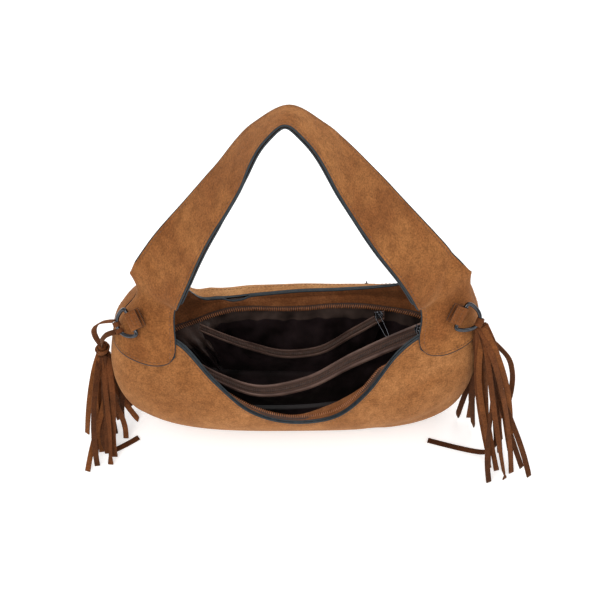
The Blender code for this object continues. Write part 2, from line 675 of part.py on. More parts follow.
def inner_slider(kind, top, thick, back_off, down, length):
    """Slider and puller near the right end of a pocket's zip."""
    top = np.array(top)
    along = top[-1] - top[-2]
    along = along / np.linalg.norm(along)
    place = top[-1] - along * back_off + (0.0, 0.0, thick + 0.0046)
    zip_slider(kind + "_zip_slider", place, along, (0.0, 0.0, 1.0))
    zip_puller(kind + "_zip_puller", place, along, (0.0, 0.0, 1.0), down, length)


def main():
    """Build every piece of the bag."""
    clear_scene()
    base_panel()
    outer_panel("front_panel", FRONT_RIM, False)
    outer_panel("back_panel", BACK_RIM, True)
    facing("front_facing", FRONT_RIM, False, FRONT_RIM, 0.012)
    facing("back_facing", BACK_RIM, True, BACK_ZIP, 0.000)
    mouth_tape("front_zip_tape", FRONT_RIM, False, 0.012)
    mouth_tape("back_zip_tape", BACK_ZIP, True, 0.000)
    lining("front_lining", FRONT_RIM, False, 0.026)
    lining("back_lining", BACK_ZIP, True, 0.014)
    handle_leaf("handle_front_leaf", False)
    handle_leaf("handle_back_leaf", True)
    for side in ("left", "right"):
        d_ring(side)
        ring_tab(side)
        tassel_bundle(side)
    tassel_knot()
    for name, route in STRAY_LACES.items():
        lace(name, route)
    hanging_wall("divider_front_wall", DIVIDER_TOP, (0.0, 0.014), POCKET_CLOTH, CLOTH, SATIN)
    hanging_wall("divider_back_wall", DIVIDER_TOP, (0.0, 0.014), -POCKET_CLOTH, -CLOTH, SATIN)
    zip_band("divider_zip", DIVIDER_TOP, BAND_LIFT, BAND_THICK)
    hanging_wall("pocket_wall", POCKET_TOP, (0.020, 0.016), 0.0, CLOTH, SATIN)
    zip_band("pocket_zip", POCKET_TOP, BAND_LIFT, BAND_THICK)
    outer_zip()
    zip_slider("main_zip_slider", MAIN_SLIDER, (1.0, 0.0, 0.1), (0.0, 0.0, 1.0))
    zip_puller("main_zip_puller", MAIN_SLIDER, (1.0, 0.0, 0.1), (0.0, 0.0, 1.0), FORWARD, 0.026)
    inner_slider("divider", DIVIDER_TOP, BAND_LIFT, 0.006, FORWARD, 0.026)
    inner_slider("pocket", POCKET_TOP, BAND_LIFT, 0.006, FORWARD, 0.030)


main()
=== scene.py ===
"""Slouching suede shoulder bag: leaf handle, open zip mouth, satin lining and hanging lace tassels.

Metres, +Z up.  Every suede, tape and lining piece follows the one body surface that `BodyShape` gives,
a rounded oblong section whose width and depth change with height.
"""
from __future__ import annotations

import logging
import math
from dataclasses import dataclass, field
from enum import Enum

import bpy
import numpy as np
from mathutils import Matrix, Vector

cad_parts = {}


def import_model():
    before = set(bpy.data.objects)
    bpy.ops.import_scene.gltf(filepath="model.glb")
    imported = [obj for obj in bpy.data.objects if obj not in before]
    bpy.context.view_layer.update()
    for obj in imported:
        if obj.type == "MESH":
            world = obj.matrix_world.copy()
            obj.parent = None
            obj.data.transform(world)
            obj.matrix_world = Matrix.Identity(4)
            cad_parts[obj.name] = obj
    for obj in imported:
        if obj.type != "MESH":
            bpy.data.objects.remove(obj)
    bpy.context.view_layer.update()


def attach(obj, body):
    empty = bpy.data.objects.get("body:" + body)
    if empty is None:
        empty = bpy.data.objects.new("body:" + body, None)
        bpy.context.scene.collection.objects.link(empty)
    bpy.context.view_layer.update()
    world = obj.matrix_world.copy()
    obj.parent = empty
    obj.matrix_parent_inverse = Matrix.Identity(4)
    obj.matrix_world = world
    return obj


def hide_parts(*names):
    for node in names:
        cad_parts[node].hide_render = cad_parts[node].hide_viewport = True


Array = np.ndarray
LOG = logging.getLogger("bag")
MM = 0.001


class Half(Enum):
    """Which half of the bag a piece belongs to."""

    FRONT = "front"
    BACK = "back"


class Side(Enum):
    """Which end of the bag a piece belongs to."""

    LEFT = "left"
    RIGHT = "right"


# ---------------------------------------------------------------- curves and grids
def unit(vectors: Array) -> Array:
    """Vectors of length one along the last axis."""
    return vectors / np.maximum(np.linalg.norm(vectors, axis=-1, keepdims=True), 1e-12)


def through(knots: Array, values: Array, at: Array) -> Array:
    """Smooth curve through values at knots: a cubic on each span whose end slopes match its neighbour's.

    Args:
        knots: rising positions.
        values: a number or a row of numbers at each knot.
        at: positions to read.

    Returns:
        The curve's values at those positions.
    """
    knots, values = np.asarray(knots, float), np.asarray(values, float)
    wide = (-1,) + (1,) * (values.ndim - 1)
    span = np.diff(knots)
    slope = np.diff(values, axis=0) / span.reshape(wide)
    before, after = span[:-1].reshape(wide), span[1:].reshape(wide)
    tangent = np.empty_like(values)
    tangent[1:-1] = (slope[:-1] * after + slope[1:] * before) / (before + after)
    tangent[0] = 1.5 * slope[0] - 0.5 * tangent[1]
    tangent[-1] = 1.5 * slope[-1] - 0.5 * tangent[-2]
    at = np.clip(np.asarray(at, float), knots[0], knots[-1])
    piece = np.clip(np.searchsorted(knots, at, side="right") - 1, 0, len(span) - 1)
    shape = at.shape + (1,) * (values.ndim - 1)
    part = ((at - knots[piece]) / span[piece]).reshape(shape)
    length = span[piece].reshape(shape)
    return (values[piece] * (2 * part**3 - 3 * part**2 + 1)
            + tangent[piece] * length * (part**3 - 2 * part**2 + part)
            + values[piece + 1] * (-2 * part**3 + 3 * part**2)
            + tangent[piece + 1] * length * (part**3 - part**2))


def run_along(points: Array) -> Array:
    """Distance along a row of points, from its first."""
    return np.concatenate([[0.0], np.cumsum(np.linalg.norm(np.diff(points, axis=0), axis=1))])


def smooth_path(points: Array, count: int) -> Array:
    """Evenly spaced points on the smooth curve through the given ones."""
    points = np.asarray(points, float)
    run = run_along(points)
    return through(run, points, np.linspace(0.0, run[-1], count))


def even_steps(path: Array, count: int) -> Array:
    """The path read again at even distances."""
    run = run_along(path)
    at = np.linspace(0.0, run[-1], count)
    return np.stack([np.interp(at, run, path[:, k]) for k in range(3)], -1)


def closed_path(points: Array, count: int) -> Array:
    """Evenly spaced points on a smooth closed curve through the given ones."""
    wrapped = np.concatenate([points[-3:], points, points[:3]])
    run = run_along(wrapped)
    at = np.linspace(run[3], run[len(points) + 3], count, endpoint=False)
    return through(run, wrapped, at)


def normals_of(grid: Array) -> Array:
    """Unit normals of a grid of points."""
    return unit(np.cross(np.gradient(grid, axis=0), np.gradient(grid, axis=1)))


def ease(part: Array) -> Array:
    """Smooth step from 0 to 1."""
    part = np.clip(part, 0.0, 1.0)
    return part * part * (3 - 2 * part)


def ripples(across: Array, along: Array, pitch: float, seed: float) -> Array:
    """Irregular folds from 0 to 1: three sines across, of unrelated pitches, whose phase drifts along."""
    phase = across * 2 * math.pi / pitch
    mixed = (np.sin(phase + 1.9 * np.sin(along * 2.1 + seed) + seed)
             + 0.6 * np.sin(phase * 1.73 + 1.2 * np.sin(along * 3.0 + 2 * seed) + 2.3 * seed)
             + 0.4 * np.sin(phase * 0.46 + 4.1 * seed))
    return 0.5 + mixed / 4.0


# ---------------------------------------------------------------- finishes
def linear(code: str) -> tuple[float, float, float, float]:
    """Linear colour of an sRGB hex code."""
    part = np.array([int(code[k:k + 2], 16) for k in (1, 3, 5)]) / 255.0
    value = np.where(part <= 0.04045, part / 12.92, ((part + 0.055) / 1.055) ** 2.4)
    return (*(float(v) for v in value), 1.0)


def add_node(tree: bpy.types.NodeTree, kind: str, sockets: dict | None = None, **settings) -> bpy.types.Node:
    """Add a node, set its settings, and fill its sockets with values or links.

    Args:
        tree: the material's node tree.
        kind: the node's type name.
        sockets: socket name or number to a value, or to the output socket that feeds it.
        settings: the node's own properties.

    Returns:
        The new node.
    """
    made = tree.nodes.new(kind)
    for key, value in settings.items():
        setattr(made, key, value)
    for key, value in (sockets or {}).items():
        if isinstance(value, bpy.types.NodeSocket):
            tree.links.new(value, made.inputs[key])
        else:
            made.inputs[key].default_value = value
    return made


@dataclass(frozen=True)
class Finish:
    """A surface finish: its material is made once and shared."""

    name: str
    slot: str

    def material(self) -> bpy.types.Material:
        """The finish's material."""
        found = bpy.data.materials.get(self.name)
        if found:
            return found
        made = bpy.data.materials.new(self.name)
        made.use_nodes = True
        tree = made.node_tree
        self.dress(tree, tree.nodes["Principled BSDF"])
        return made

    def dress(self, tree: bpy.types.NodeTree, shader: bpy.types.Node) -> None:
        """Set the shader for this finish; each kind has its own."""
        raise NotImplementedError

    def patches(self, tree: bpy.types.NodeTree, size: float, detail: float, low: float,
                high: float, stretch: tuple[float, float, float] = (1, 1, 1)) -> bpy.types.NodeSocket:
        """Soft noise of a real size, spread from 0 to 1.

        Args:
            tree: the material's node tree.
            size: a patch's width in metres.
            detail: finer layers of the noise.
            low: noise value that becomes 0.
            high: noise value that becomes 1.
            stretch: scale along each axis.

        Returns:
            The value's socket.
        """
        place = add_node(tree, "ShaderNodeTexCoord")
        turned = add_node(tree, "ShaderNodeMapping", {"Vector": place.outputs["Object"], "Scale": stretch})
        noise = add_node(tree, "ShaderNodeTexNoise", {"Vector": turned.outputs[0], "Scale": 1.0 / size,
                                                      "Detail": detail, "Roughness": 0.55})
        return self.ranged(tree, noise.outputs["Fac"], (low, high), (0.0, 1.0))

    def blend(self, tree: bpy.types.NodeTree, share: bpy.types.NodeSocket | float, first, second,
              kind: str = "MIX") -> bpy.types.NodeSocket:
        """Mix two colours by a share.

        Args:
            tree: the material's node tree.
            share: how much of the second colour.
            first: colour or socket.
            second: colour or socket.
            kind: how they are mixed.

        Returns:
            The colour's socket.
        """
        return add_node(tree, "ShaderNodeMix", {0: share, 6: first, 7: second},
                        data_type="RGBA", blend_type=kind).outputs[2]

    def ranged(self, tree: bpy.types.NodeTree, value: bpy.types.NodeSocket, start: tuple[float, float],
               end: tuple[float, float], kind: str = "LINEAR") -> bpy.types.NodeSocket:
        """A value read from one range into another.

        Args:
            tree: the material's node tree.
            value: the value's socket.
            start: range that it is read from.
            end: range that it becomes.
            kind: shape of the curve between.

        Returns:
            The new value's socket.
        """
        return add_node(tree, "ShaderNodeMapRange",
                        {"Value": value, "From Min": start[0], "From Max": start[1],
                         "To Min": end[0], "To Max": end[1]}, interpolation_type=kind).outputs[0]

    def sum_of(self, tree: bpy.types.NodeTree, kind: str, first, second: float = 0.0) -> bpy.types.NodeSocket:
        """One step of arithmetic on values or sockets."""
        return add_node(tree, "ShaderNodeMath", {0: first, 1: second}, operation=kind).outputs[0]

    def lines(self, tree: bpy.types.NodeTree, place: bpy.types.NodeSocket, pitch: float,
              **settings) -> bpy.types.NodeSocket:
        """Even lines of a pitch in metres on the piece's own map."""
        return add_node(tree, "ShaderNodeTexWave", {"Vector": place, "Scale": 1 / pitch / (2 * math.pi)},
                        **settings).outputs["Fac"]

    def gloss(self, tree: bpy.types.NodeTree, shader: bpy.types.Node, colour: bpy.types.NodeSocket,
              **values: float) -> None:
        """Feed the shader its colour and set its other sockets; `sheen_weight` stands for Sheen Weight."""
        tree.links.new(colour, shader.inputs["Base Color"])
        for key, value in values.items():
            shader.inputs[key.replace("_", " ").title().replace("Ior", "IOR")].default_value = value

    def raise_by(self, tree: bpy.types.NodeTree, shader: bpy.types.Node, height: bpy.types.NodeSocket,
                 strength: float, distance: float) -> None:
        """Bump the shader's normal by a height."""
        under = shader.inputs["Normal"]
        sockets = {"Height": height, "Strength": strength, "Distance": distance}
        if under.is_linked:
            sockets["Normal"] = under.links[0].from_socket
        bump = add_node(tree, "ShaderNodeBump", sockets)
        tree.links.new(bump.outputs[0], under)


@dataclass(frozen=True)
class Suede(Finish):
    """Split suede, brushed to a short nap.

    The nap lies in different directions, so patches of 10 to 50 mm look lighter or darker, with a
    grain of about a millimetre; it has no gloss but a soft sheen at grazing angles.
    """

    light: str = "#A97244"
    middle: str = "#925D33"
    dark: str = "#643B1C"
    sheen: float = 0.22
    grain: tuple[float, float] = (0.62, 1.30)
    seam_mm: float = 3.6

    def dress(self, tree: bpy.types.NodeTree, shader: bpy.types.Node) -> None:
        """Clouds of brushed nap, mottling, grain, and beside cut edges a sewn groove darkened as painted shade,
        and a rim of paint.
        """
        clouds = self.patches(tree, 46 * MM, 2.0, 0.36, 0.66)
        mottle = self.patches(tree, 9 * MM, 4.0, 0.42, 0.78)
        streak = self.patches(tree, 4 * MM, 3.0, 0.36, 0.72, (1.0, 1.0, 0.3))
        nap = self.patches(tree, 1.7 * MM, 4.0, 0.28, 0.72)
        colour = self.blend(tree, clouds, linear(self.middle), linear(self.light))
        for value, share in ((mottle, 0.55), (streak, 0.22)):
            shade = self.sum_of(tree, "MULTIPLY", value, share)
            colour = self.blend(tree, shade, colour, linear(self.dark))
        grain = self.ranged(tree, nap, (0.0, 1.0), self.grain)
        grey = add_node(tree, "ShaderNodeCombineColor", {0: grain, 1: grain, 2: grain})
        colour = self.blend(tree, 1.0, colour, grey.outputs[0], "MULTIPLY")
        edge = add_node(tree, "ShaderNodeAttribute", attribute_name="edge_mm").outputs["Fac"]
        worn = self.ranged(tree, edge, (0.2, 2.2), (0.35, 0.0))
        colour = self.blend(tree, worn, colour, linear(self.dark))
        off = self.sum_of(tree, "ABSOLUTE", self.sum_of(tree, "SUBTRACT", edge, self.seam_mm))
        groove = self.ranged(tree, off, (0.1, 0.9), (0.0, 1.0), "SMOOTHSTEP")
        # Painted shade: the colour in the sewn groove is darkened towards #4A2A14, standing for the shade that
        # falls in the recess.
        sewn = self.ranged(tree, groove, (0.0, 1.0), (0.16, 0.0))
        colour = self.blend(tree, sewn, colour, linear("#4A2A14"))
        painted = self.ranged(tree, edge, (0.55, 0.85), (1.0, 0.0))
        colour = self.blend(tree, painted, colour, linear("#20282D"))
        self.gloss(tree, shader, colour, roughness=0.95, specular_ior_level=0.15, sheen_weight=self.sheen,
                   sheen_roughness=0.45, sheen_tint=linear("#E0B080"))
        self.raise_by(tree, shader, nap, 0.35, 0.5 * MM)
        self.raise_by(tree, shader, mottle, 0.20, 0.6 * MM)
        self.raise_by(tree, shader, groove, 0.6, 0.5 * MM)


@dataclass(frozen=True)
class EdgePaint(Finish):
    """Edge paint rolled on cut leather edges: a smooth, slightly glossy blue-grey rubbery bead."""

    def dress(self, tree: bpy.types.NodeTree, shader: bpy.types.Node) -> None:
        """Two close greys with shallow waves left by the roller."""
        waves = self.patches(tree, 5 * MM, 2.0, 0.3, 0.7)
        colour = self.blend(tree, waves, linear("#182025"), linear("#252F36"))
        self.gloss(tree, shader, colour, roughness=0.50, specular_ior_level=0.35)
        self.raise_by(tree, shader, waves, 0.2, 0.3 * MM)


@dataclass(frozen=True)
class Satin(Finish):
    """Polyester satin lining, woven with long floats, with a silky gloss on its folds; its default tones are
    darkened as painted shade.
    """

    # Painted shade: the default tones are darkened to near black, standing for the shade deep inside the bag.
    light: str = "#33282A"
    dark: str = "#110C0C"
    sheen: float = 0.06

    def dress(self, tree: bpy.types.NodeTree, shader: bpy.types.Node) -> None:
        """Fine twill lines from the piece's own map, drawn at 0.8 mm where the real ones are 0.2 mm."""
        flat = add_node(tree, "ShaderNodeUVMap", uv_map="UVMap")
        turned = add_node(tree, "ShaderNodeMapping", {"Vector": flat.outputs[0], "Rotation": (0, 0, 0.6)})
        twill = add_node(tree, "ShaderNodeTexWave", {"Vector": turned.outputs[0], "Distortion": 0.4,
                                                     "Scale": 1 / (0.8 * MM) / (2 * math.pi)}).outputs["Fac"]
        clouds = self.patches(tree, 30 * MM, 2.0, 0.35, 0.7)
        colour = self.blend(tree, clouds, linear(self.dark), linear(self.light))
        line = self.sum_of(tree, "MULTIPLY", twill, 0.18)
        self.gloss(tree, shader, self.blend(tree, line, colour, linear("#120C0B")), roughness=0.40,
                   specular_ior_level=0.20, sheen_weight=self.sheen, sheen_roughness=0.35,
                   sheen_tint=linear("#9A857C"))
        self.raise_by(tree, shader, twill, 0.12, 0.2 * MM)


@dataclass(frozen=True)
class WovenTape(Finish):
    """Woven polyester zip tape: matt, with a fine herringbone rib along its length."""

    light: str = "#5A3D2E"
    dark: str = "#33211A"

    def dress(self, tree: bpy.types.NodeTree, shader: bpy.types.Node) -> None:
        """Ribs of 1 mm along the tape and threads across it."""
        flat = add_node(tree, "ShaderNodeUVMap", uv_map="UVMap")
        ribs = self.lines(tree, flat.outputs[0], 1.1 * MM, bands_direction="Y")
        threads = self.lines(tree, flat.outputs[0], 0.9 * MM, bands_direction="X")
        weave = self.sum_of(tree, "MULTIPLY", ribs, threads)
        self.gloss(tree, shader, self.blend(tree, weave, linear(self.dark), linear(self.light)), roughness=0.82)
        self.raise_by(tree, shader, weave, 0.4, 0.3 * MM)


@dataclass(frozen=True)
class Moulded(Finish):
    """Extruded nylon of the zip coils: smooth, waxy, with a soft highlight on each turn."""

    light: str = "#A0643C"
    dark: str = "#744628"

    def dress(self, tree: bpy.types.NodeTree, shader: bpy.types.Node) -> None:
        """Slight change of tone from turn to turn."""
        tone = self.patches(tree, 6 * MM, 2.0, 0.3, 0.7)
        self.gloss(tree, shader, self.blend(tree, tone, linear(self.dark), linear(self.light)), roughness=0.38)
        self.raise_by(tree, shader, tone, 0.1, 0.2 * MM)


@dataclass(frozen=True)
class Thread(Finish):
    """Bonded polyester sewing thread, twisted from two plies."""

    colour: str = "#7E4E28"

    def dress(self, tree: bpy.types.NodeTree, shader: bpy.types.Node) -> None:
        """Twist lines at 0.4 mm."""
        twist = self.patches(tree, 0.8 * MM, 1.0, 0.3, 0.7)
        self.gloss(tree, shader, self.blend(tree, twist, linear("#5E3819"), linear(self.colour)), roughness=0.6)
        self.raise_by(tree, shader, twist, 0.3, 0.1 * MM)


@dataclass(frozen=True)
class Gunmetal(Finish):
    """Zinc alloy, polished and plated black nickel: dark mirror with faint handling marks."""

    def dress(self, tree: bpy.types.NodeTree, shader: bpy.types.Node) -> None:
        """Dark metal whose gloss is a little uneven."""
        marks = self.patches(tree, 3 * MM, 4.0, 0.35, 0.75)
        self.gloss(tree, shader, self.blend(tree, marks, linear("#4A4B4F"), linear("#3A3B3F")), metallic=1.0)
        tree.links.new(self.ranged(tree, marks, (0.0, 1.0), (0.09, 0.20)), shader.inputs["Roughness"])
        self.raise_by(tree, shader, marks, 0.03, 0.1 * MM)


SUEDE = Suede("split_suede", "suede")
HANDLE_SUEDE = Suede("split_suede_handle", "suede", light="#A36B3C", middle="#87522B", dark="#5F3719")
# Painted light: a lighter copy of the suede, standing for the light that falls on the rear panel from behind
# and above.
LIT_REAR_SUEDE = Suede("split_suede_rear_painted_lit", "suede", light="#C08E5E", middle="#A9764A", dark="#875830")
TAB_SUEDE = Suede("split_suede_tab", "suede", light="#8C5730", middle="#764523", dark="#542F16")
FACING_SUEDE = Suede("split_suede_inside", "suede", "#8A5836", "#714324", "#512D17", 0.1)
PAINT = EdgePaint("edge_paint", "suede")
# Painted shade: the satin in its darkened default tones, for the lower lining and the pocket walls.
SHADED_LINING = Satin("satin_lining", "lining_satin")
# Painted light: a lighter copy of the lining satin, standing for the light that reaches the top of the lining.
LIT_TOP_SATIN = Satin("satin_lining_top_painted_lit", "lining_satin", light="#5E4E48", dark="#1C1615", sheen=0.15)
# Painted light: a much lighter copy of the lining satin, standing for the light on the folded edges of the
# pocket bands.
LIT_FOLD_SATIN = Satin("satin_pocket_fold_painted_lit", "lining_satin", light="#7A6157", dark="#4A3731", sheen=0.3)
TAPE = WovenTape("woven_zip_tape", "zip_tape")
COIL = Moulded("nylon_zip_coil", "zip_tape")
DARK_COIL = Moulded("nylon_pocket_coil", "zip_tape", light="#4A342A", dark="#2E201A")
THREAD = Thread("polyester_thread", "suede")
METAL = Gunmetal("black_nickel", "gunmetal")
LACES = (Suede("suede_lace_light", "suede_lace", "#814D28", "#6C3E20", "#4E2B15", 0.12),
         Suede("suede_lace_middle", "suede_lace", "#704022", "#5E351B", "#432412", 0.12),
         Suede("suede_lace_dark", "suede_lace", "#5A331B", "#492815", "#321A0D", 0.12))


# ---------------------------------------------------------------- meshes
@dataclass
class Surface:
    """Vertices and faces being gathered for one mesh piece."""

    verts: list[Array] = field(default_factory=list)
    quads: list[Array] = field(default_factory=list)
    caps: list[list[int]] = field(default_factory=list)
    slots: list[Array] = field(default_factory=list)
    cap_slots: list[int] = field(default_factory=list)
    maps: list[Array] = field(default_factory=list)
    marks: list[Array] = field(default_factory=list)
    count: int = 0

    def add(self, verts: Array, quads: Array, slots: Array | int = 0, flat: Array | None = None,
            marks: Array | None = None, caps: list[list[int]] | None = None, cap_slot: int = 0) -> None:
        """Add a block of vertices with its quads and end caps.

        Args:
            verts: points of the block.
            quads: four vertex numbers a face, counted within the block.
            slots: finish number of each quad, or of all.
            flat: place on the flat map of each vertex.
            marks: distance from the nearest painted edge in millimetres.
            caps: many-sided end faces.
            cap_slot: finish number of the caps.
        """
        verts = np.asarray(verts, float).reshape(-1, 3)
        quads = np.asarray(quads, int).reshape(-1, 4)
        self.verts.append(verts)
        self.quads.append(quads + self.count)
        self.slots.append(np.broadcast_to(slots, (len(quads),)))
        self.maps.append(np.zeros((len(verts), 2)) if flat is None else flat.reshape(-1, 2))
        self.marks.append(np.full(len(verts), 99.0) if marks is None else marks.reshape(-1))
        self.caps += [[i + self.count for i in cap] for cap in caps or []]
        self.cap_slots += [cap_slot] * len(caps or [])
        self.count += len(verts)

    def piece(self, name: str, finishes: list[Finish], body: str, *nodes: str) -> bpy.types.Object:
        """Make the object, its faces turned outwards, riding on a body.

        Args:
            name: the piece's name.
            finishes: its finishes, in the order of the finish numbers.
            body: the body that it moves with.
            nodes: the plain solids that it stands for.

        Returns:
            The new object.
        """
        verts, quads = np.concatenate(self.verts), np.concatenate(self.quads)
        a, b, c, d = (verts[quads[:, k]] - verts.mean(axis=0) for k in range(4))
        outward = np.einsum("ij,ij->", a, np.cross(b, c)) + np.einsum("ij,ij->", a, np.cross(c, d)) > 0
        faces = (quads if outward else quads[:, ::-1]).tolist()
        faces += [cap if outward else cap[::-1] for cap in self.caps]
        mesh = bpy.data.meshes.new(name)
        mesh.from_pydata(verts.tolist(), [], faces)
        numbers = np.concatenate([*self.slots, self.cap_slots]).astype(np.int32)
        mesh.polygons.foreach_set("material_index", numbers)
        corners = np.empty(len(mesh.loops), np.int32)
        mesh.loops.foreach_get("vertex_index", corners)
        mesh.uv_layers.new(name="UVMap").data.foreach_set("uv", np.concatenate(self.maps)[corners].ravel())
        mark = mesh.attributes.new("edge_mm", "FLOAT", "POINT")
        mark.data.foreach_set("value", np.concatenate(self.marks).astype(np.float32))
        mesh.polygons.foreach_set("use_smooth", np.arange(len(faces)) < len(quads))
        mesh.update()
        made = bpy.data.objects.new(name, mesh)
        bpy.context.scene.collection.objects.link(made)
        for finish in finishes:
            mesh.materials.append(finish.material())
        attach(made, body)
        if nodes:
            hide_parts(*nodes)
        LOG.info("%s: %d faces on %s", name, len(faces), body)
        return made


@dataclass
class Painted:
    """Which borders of a layer carry edge paint; each is all, none, or one flag a point."""

    top: Array | bool = False
    bottom: Array | bool = False
    left: Array | bool = False
    right: Array | bool = False


def grid_quads(rows: int, columns: int, around: bool = False) -> Array:
    """Faces of a grid of points, closed round its rows if asked."""
    i, j = np.meshgrid(np.arange(rows - 1), np.arange(columns if around else columns - 1), indexing="ij")
    k = (j + 1) % columns
    first, second = i * columns, (i + 1) * columns
    return np.stack([first + j, first + k, second + k, second + j], -1).reshape(-1, 4)


def add_layer(to: Surface, outer: Array, inner: Array, painted: Painted = Painted(),
              row_slots: Array | None = None, paint_slot: int = 1) -> None:
    """Add a closed layer between two grids, with a rounded bead round its whole border.

    The bead is a half circle: its points are the middle of the thickness, plus cosine times half the
    thickness, plus sine times half the thickness along the layer's outward direction.

    Args:
        to: the surface to add to.
        outer: outer points, rows by columns.
        inner: inner points, the same shape.
        painted: the borders that carry edge paint.
        row_slots: finish number of each row of faces.
        paint_slot: finish number of the painted bead.
    """
    rows, columns = outer.shape[:2]
    flags = np.zeros((rows, columns), bool)
    flags[0] |= painted.top
    flags[-1] |= painted.bottom
    flags[:, 0] |= painted.left
    flags[:, -1] |= painted.right
    steps = [np.linalg.norm(np.diff(outer, axis=axis), axis=2) for axis in (0, 1)]
    down = np.concatenate([np.zeros((1, columns)), np.cumsum(steps[0], axis=0)])
    across = np.concatenate([np.zeros((rows, 1)), np.cumsum(steps[1], axis=1)], 1)
    far = 0.099
    mark = np.minimum.reduce([
        np.where(np.broadcast_to(painted.top, (columns,))[None, :], down, far),
        np.where(np.broadcast_to(painted.bottom, (columns,))[None, :], down[-1:] - down, far),
        np.where(np.broadcast_to(painted.left, (rows,))[:, None], across, far),
        np.where(np.broadcast_to(painted.right, (rows,))[:, None], across[:, -1:] - across, far)]) / MM
    flat = np.stack([np.broadcast_to(across[rows // 2], (rows, columns)),
                     np.broadcast_to(down[:, columns // 2][:, None], (rows, columns))], -1).reshape(-1, 2)
    lead = np.zeros_like(outer)
    lead[0] += unit(outer[0] - outer[1])
    lead[-1] += unit(outer[-1] - outer[-2])
    lead[:, 0] += unit(outer[:, 0] - outer[:, 1])
    lead[:, -1] += unit(outer[:, -1] - outer[:, -2])
    index = np.arange(rows * columns).reshape(rows, columns)
    loop = np.concatenate([index[0, :-1], index[:-1, -1], index[-1, :0:-1], index[:0:-1, 0]])
    out_flat, in_flat = outer.reshape(-1, 3), inner.reshape(-1, 3)
    middle = (out_flat[loop] + in_flat[loop]) / 2
    half = (out_flat[loop] - in_flat[loop]) / 2
    reach = np.linalg.norm(half, axis=1, keepdims=True) * unit(lead.reshape(-1, 3)[loop])
    angle = np.array([0.25, 0.5, 0.75])[:, None, None] * math.pi
    bead = middle + np.cos(angle) * half + np.sin(angle) * reach
    size = rows * columns
    rings = np.concatenate([loop[None], 2 * size + np.arange(3 * len(loop)).reshape(3, -1), loop[None] + size])
    ahead = np.roll(rings, -1, axis=1)
    strips = np.stack([ahead[:-1], rings[:-1], rings[1:], ahead[1:]], -1).reshape(-1, 4)
    marked = flags.reshape(-1)[loop]
    both = np.broadcast_to(marked & np.roll(marked, -1), (4, len(loop)))
    strip_slots = np.where(both, paint_slot, 0).reshape(-1)
    face = grid_quads(rows, columns)
    face_slots = np.zeros(rows - 1, int) if row_slots is None else np.asarray(row_slots)
    face_slots = np.repeat(face_slots, columns - 1)
    to.add(np.concatenate([out_flat, in_flat, bead.reshape(-1, 3)]),
           np.concatenate([face, face[:, ::-1] + size, strips]),
           np.concatenate([face_slots, face_slots, strip_slots]),
           np.concatenate([flat, flat, np.tile(flat[loop], (3, 1))]),
           np.concatenate([mark.reshape(-1), mark.reshape(-1), np.zeros(3 * len(loop))]))


def add_sweep(to: Surface, path: Array, side: Array, section: Array, closed: bool = False,
              scale: Array | None = None, slot: int = 0) -> None:
    """Add a profile carried along a path: point = path + first number x side + second x lift.

    Args:
        to: the surface to add to.
        path: the centre line.
        side: rough direction of the profile's first axis at each point, or one for all.
        section: the profile's points, one row each.
        closed: whether the path joins its own start.
        scale: size of the profile at each point.
        slot: finish number.
    """
    step = np.roll(path, -1, axis=0) - np.roll(path, 1, axis=0) if closed else np.gradient(path, axis=0)
    ahead = unit(step)
    side = np.broadcast_to(side, path.shape)
    lift = unit(np.cross(ahead, side))
    side = np.cross(lift, ahead)
    size = np.ones(len(path)) if scale is None else scale
    points = (path[:, None] + size[:, None, None] * (section[None, :, :1] * side[:, None]
                                                     + section[None, :, 1:] * lift[:, None]))
    count, sides = points.shape[:2]
    quads = grid_quads(count + closed, sides, around=True) % (count * sides)
    run = run_along(path)
    girth = run_along(np.concatenate([section, section[:1]]) @ np.eye(2, 3))[:-1]
    flat = np.stack(np.broadcast_arrays(run[:, None], girth[None, :]), -1)
    caps = [] if closed else [list(range(sides))[::-1], list(range((count - 1) * sides, count * sides))]
    to.add(points, quads, slot, flat, caps=caps, cap_slot=slot)


def round_section(radius: float, sides: int = 14) -> Array:
    """Round profile."""
    angle = np.linspace(0.0, 2 * math.pi, sides, endpoint=False)
    return radius * np.stack([np.cos(angle), np.sin(angle)], -1)


def strip_section(width: float, thick: float, sides: int = 12) -> Array:
    """Flat profile with rounded corners: a circle pressed towards a rectangle."""
    angle = np.linspace(0.0, 2 * math.pi, sides, endpoint=False) + math.pi / sides
    shape = np.stack([np.cos(angle), np.sin(angle)], -1)
    return np.sign(shape) * np.abs(shape) ** 0.35 * (width / 2, thick / 2)


def blunt_ends(count: int, share: float = 0.02) -> Array:
    """Profile sizes that round off both ends of a sweep."""
    part = np.linspace(0.0, 1.0, count)
    near = np.minimum(part, 1 - part) / share
    return 0.35 + 0.65 * np.sqrt(np.clip(1 - (1 - np.clip(near, 0, 1)) ** 2, 0, 1))


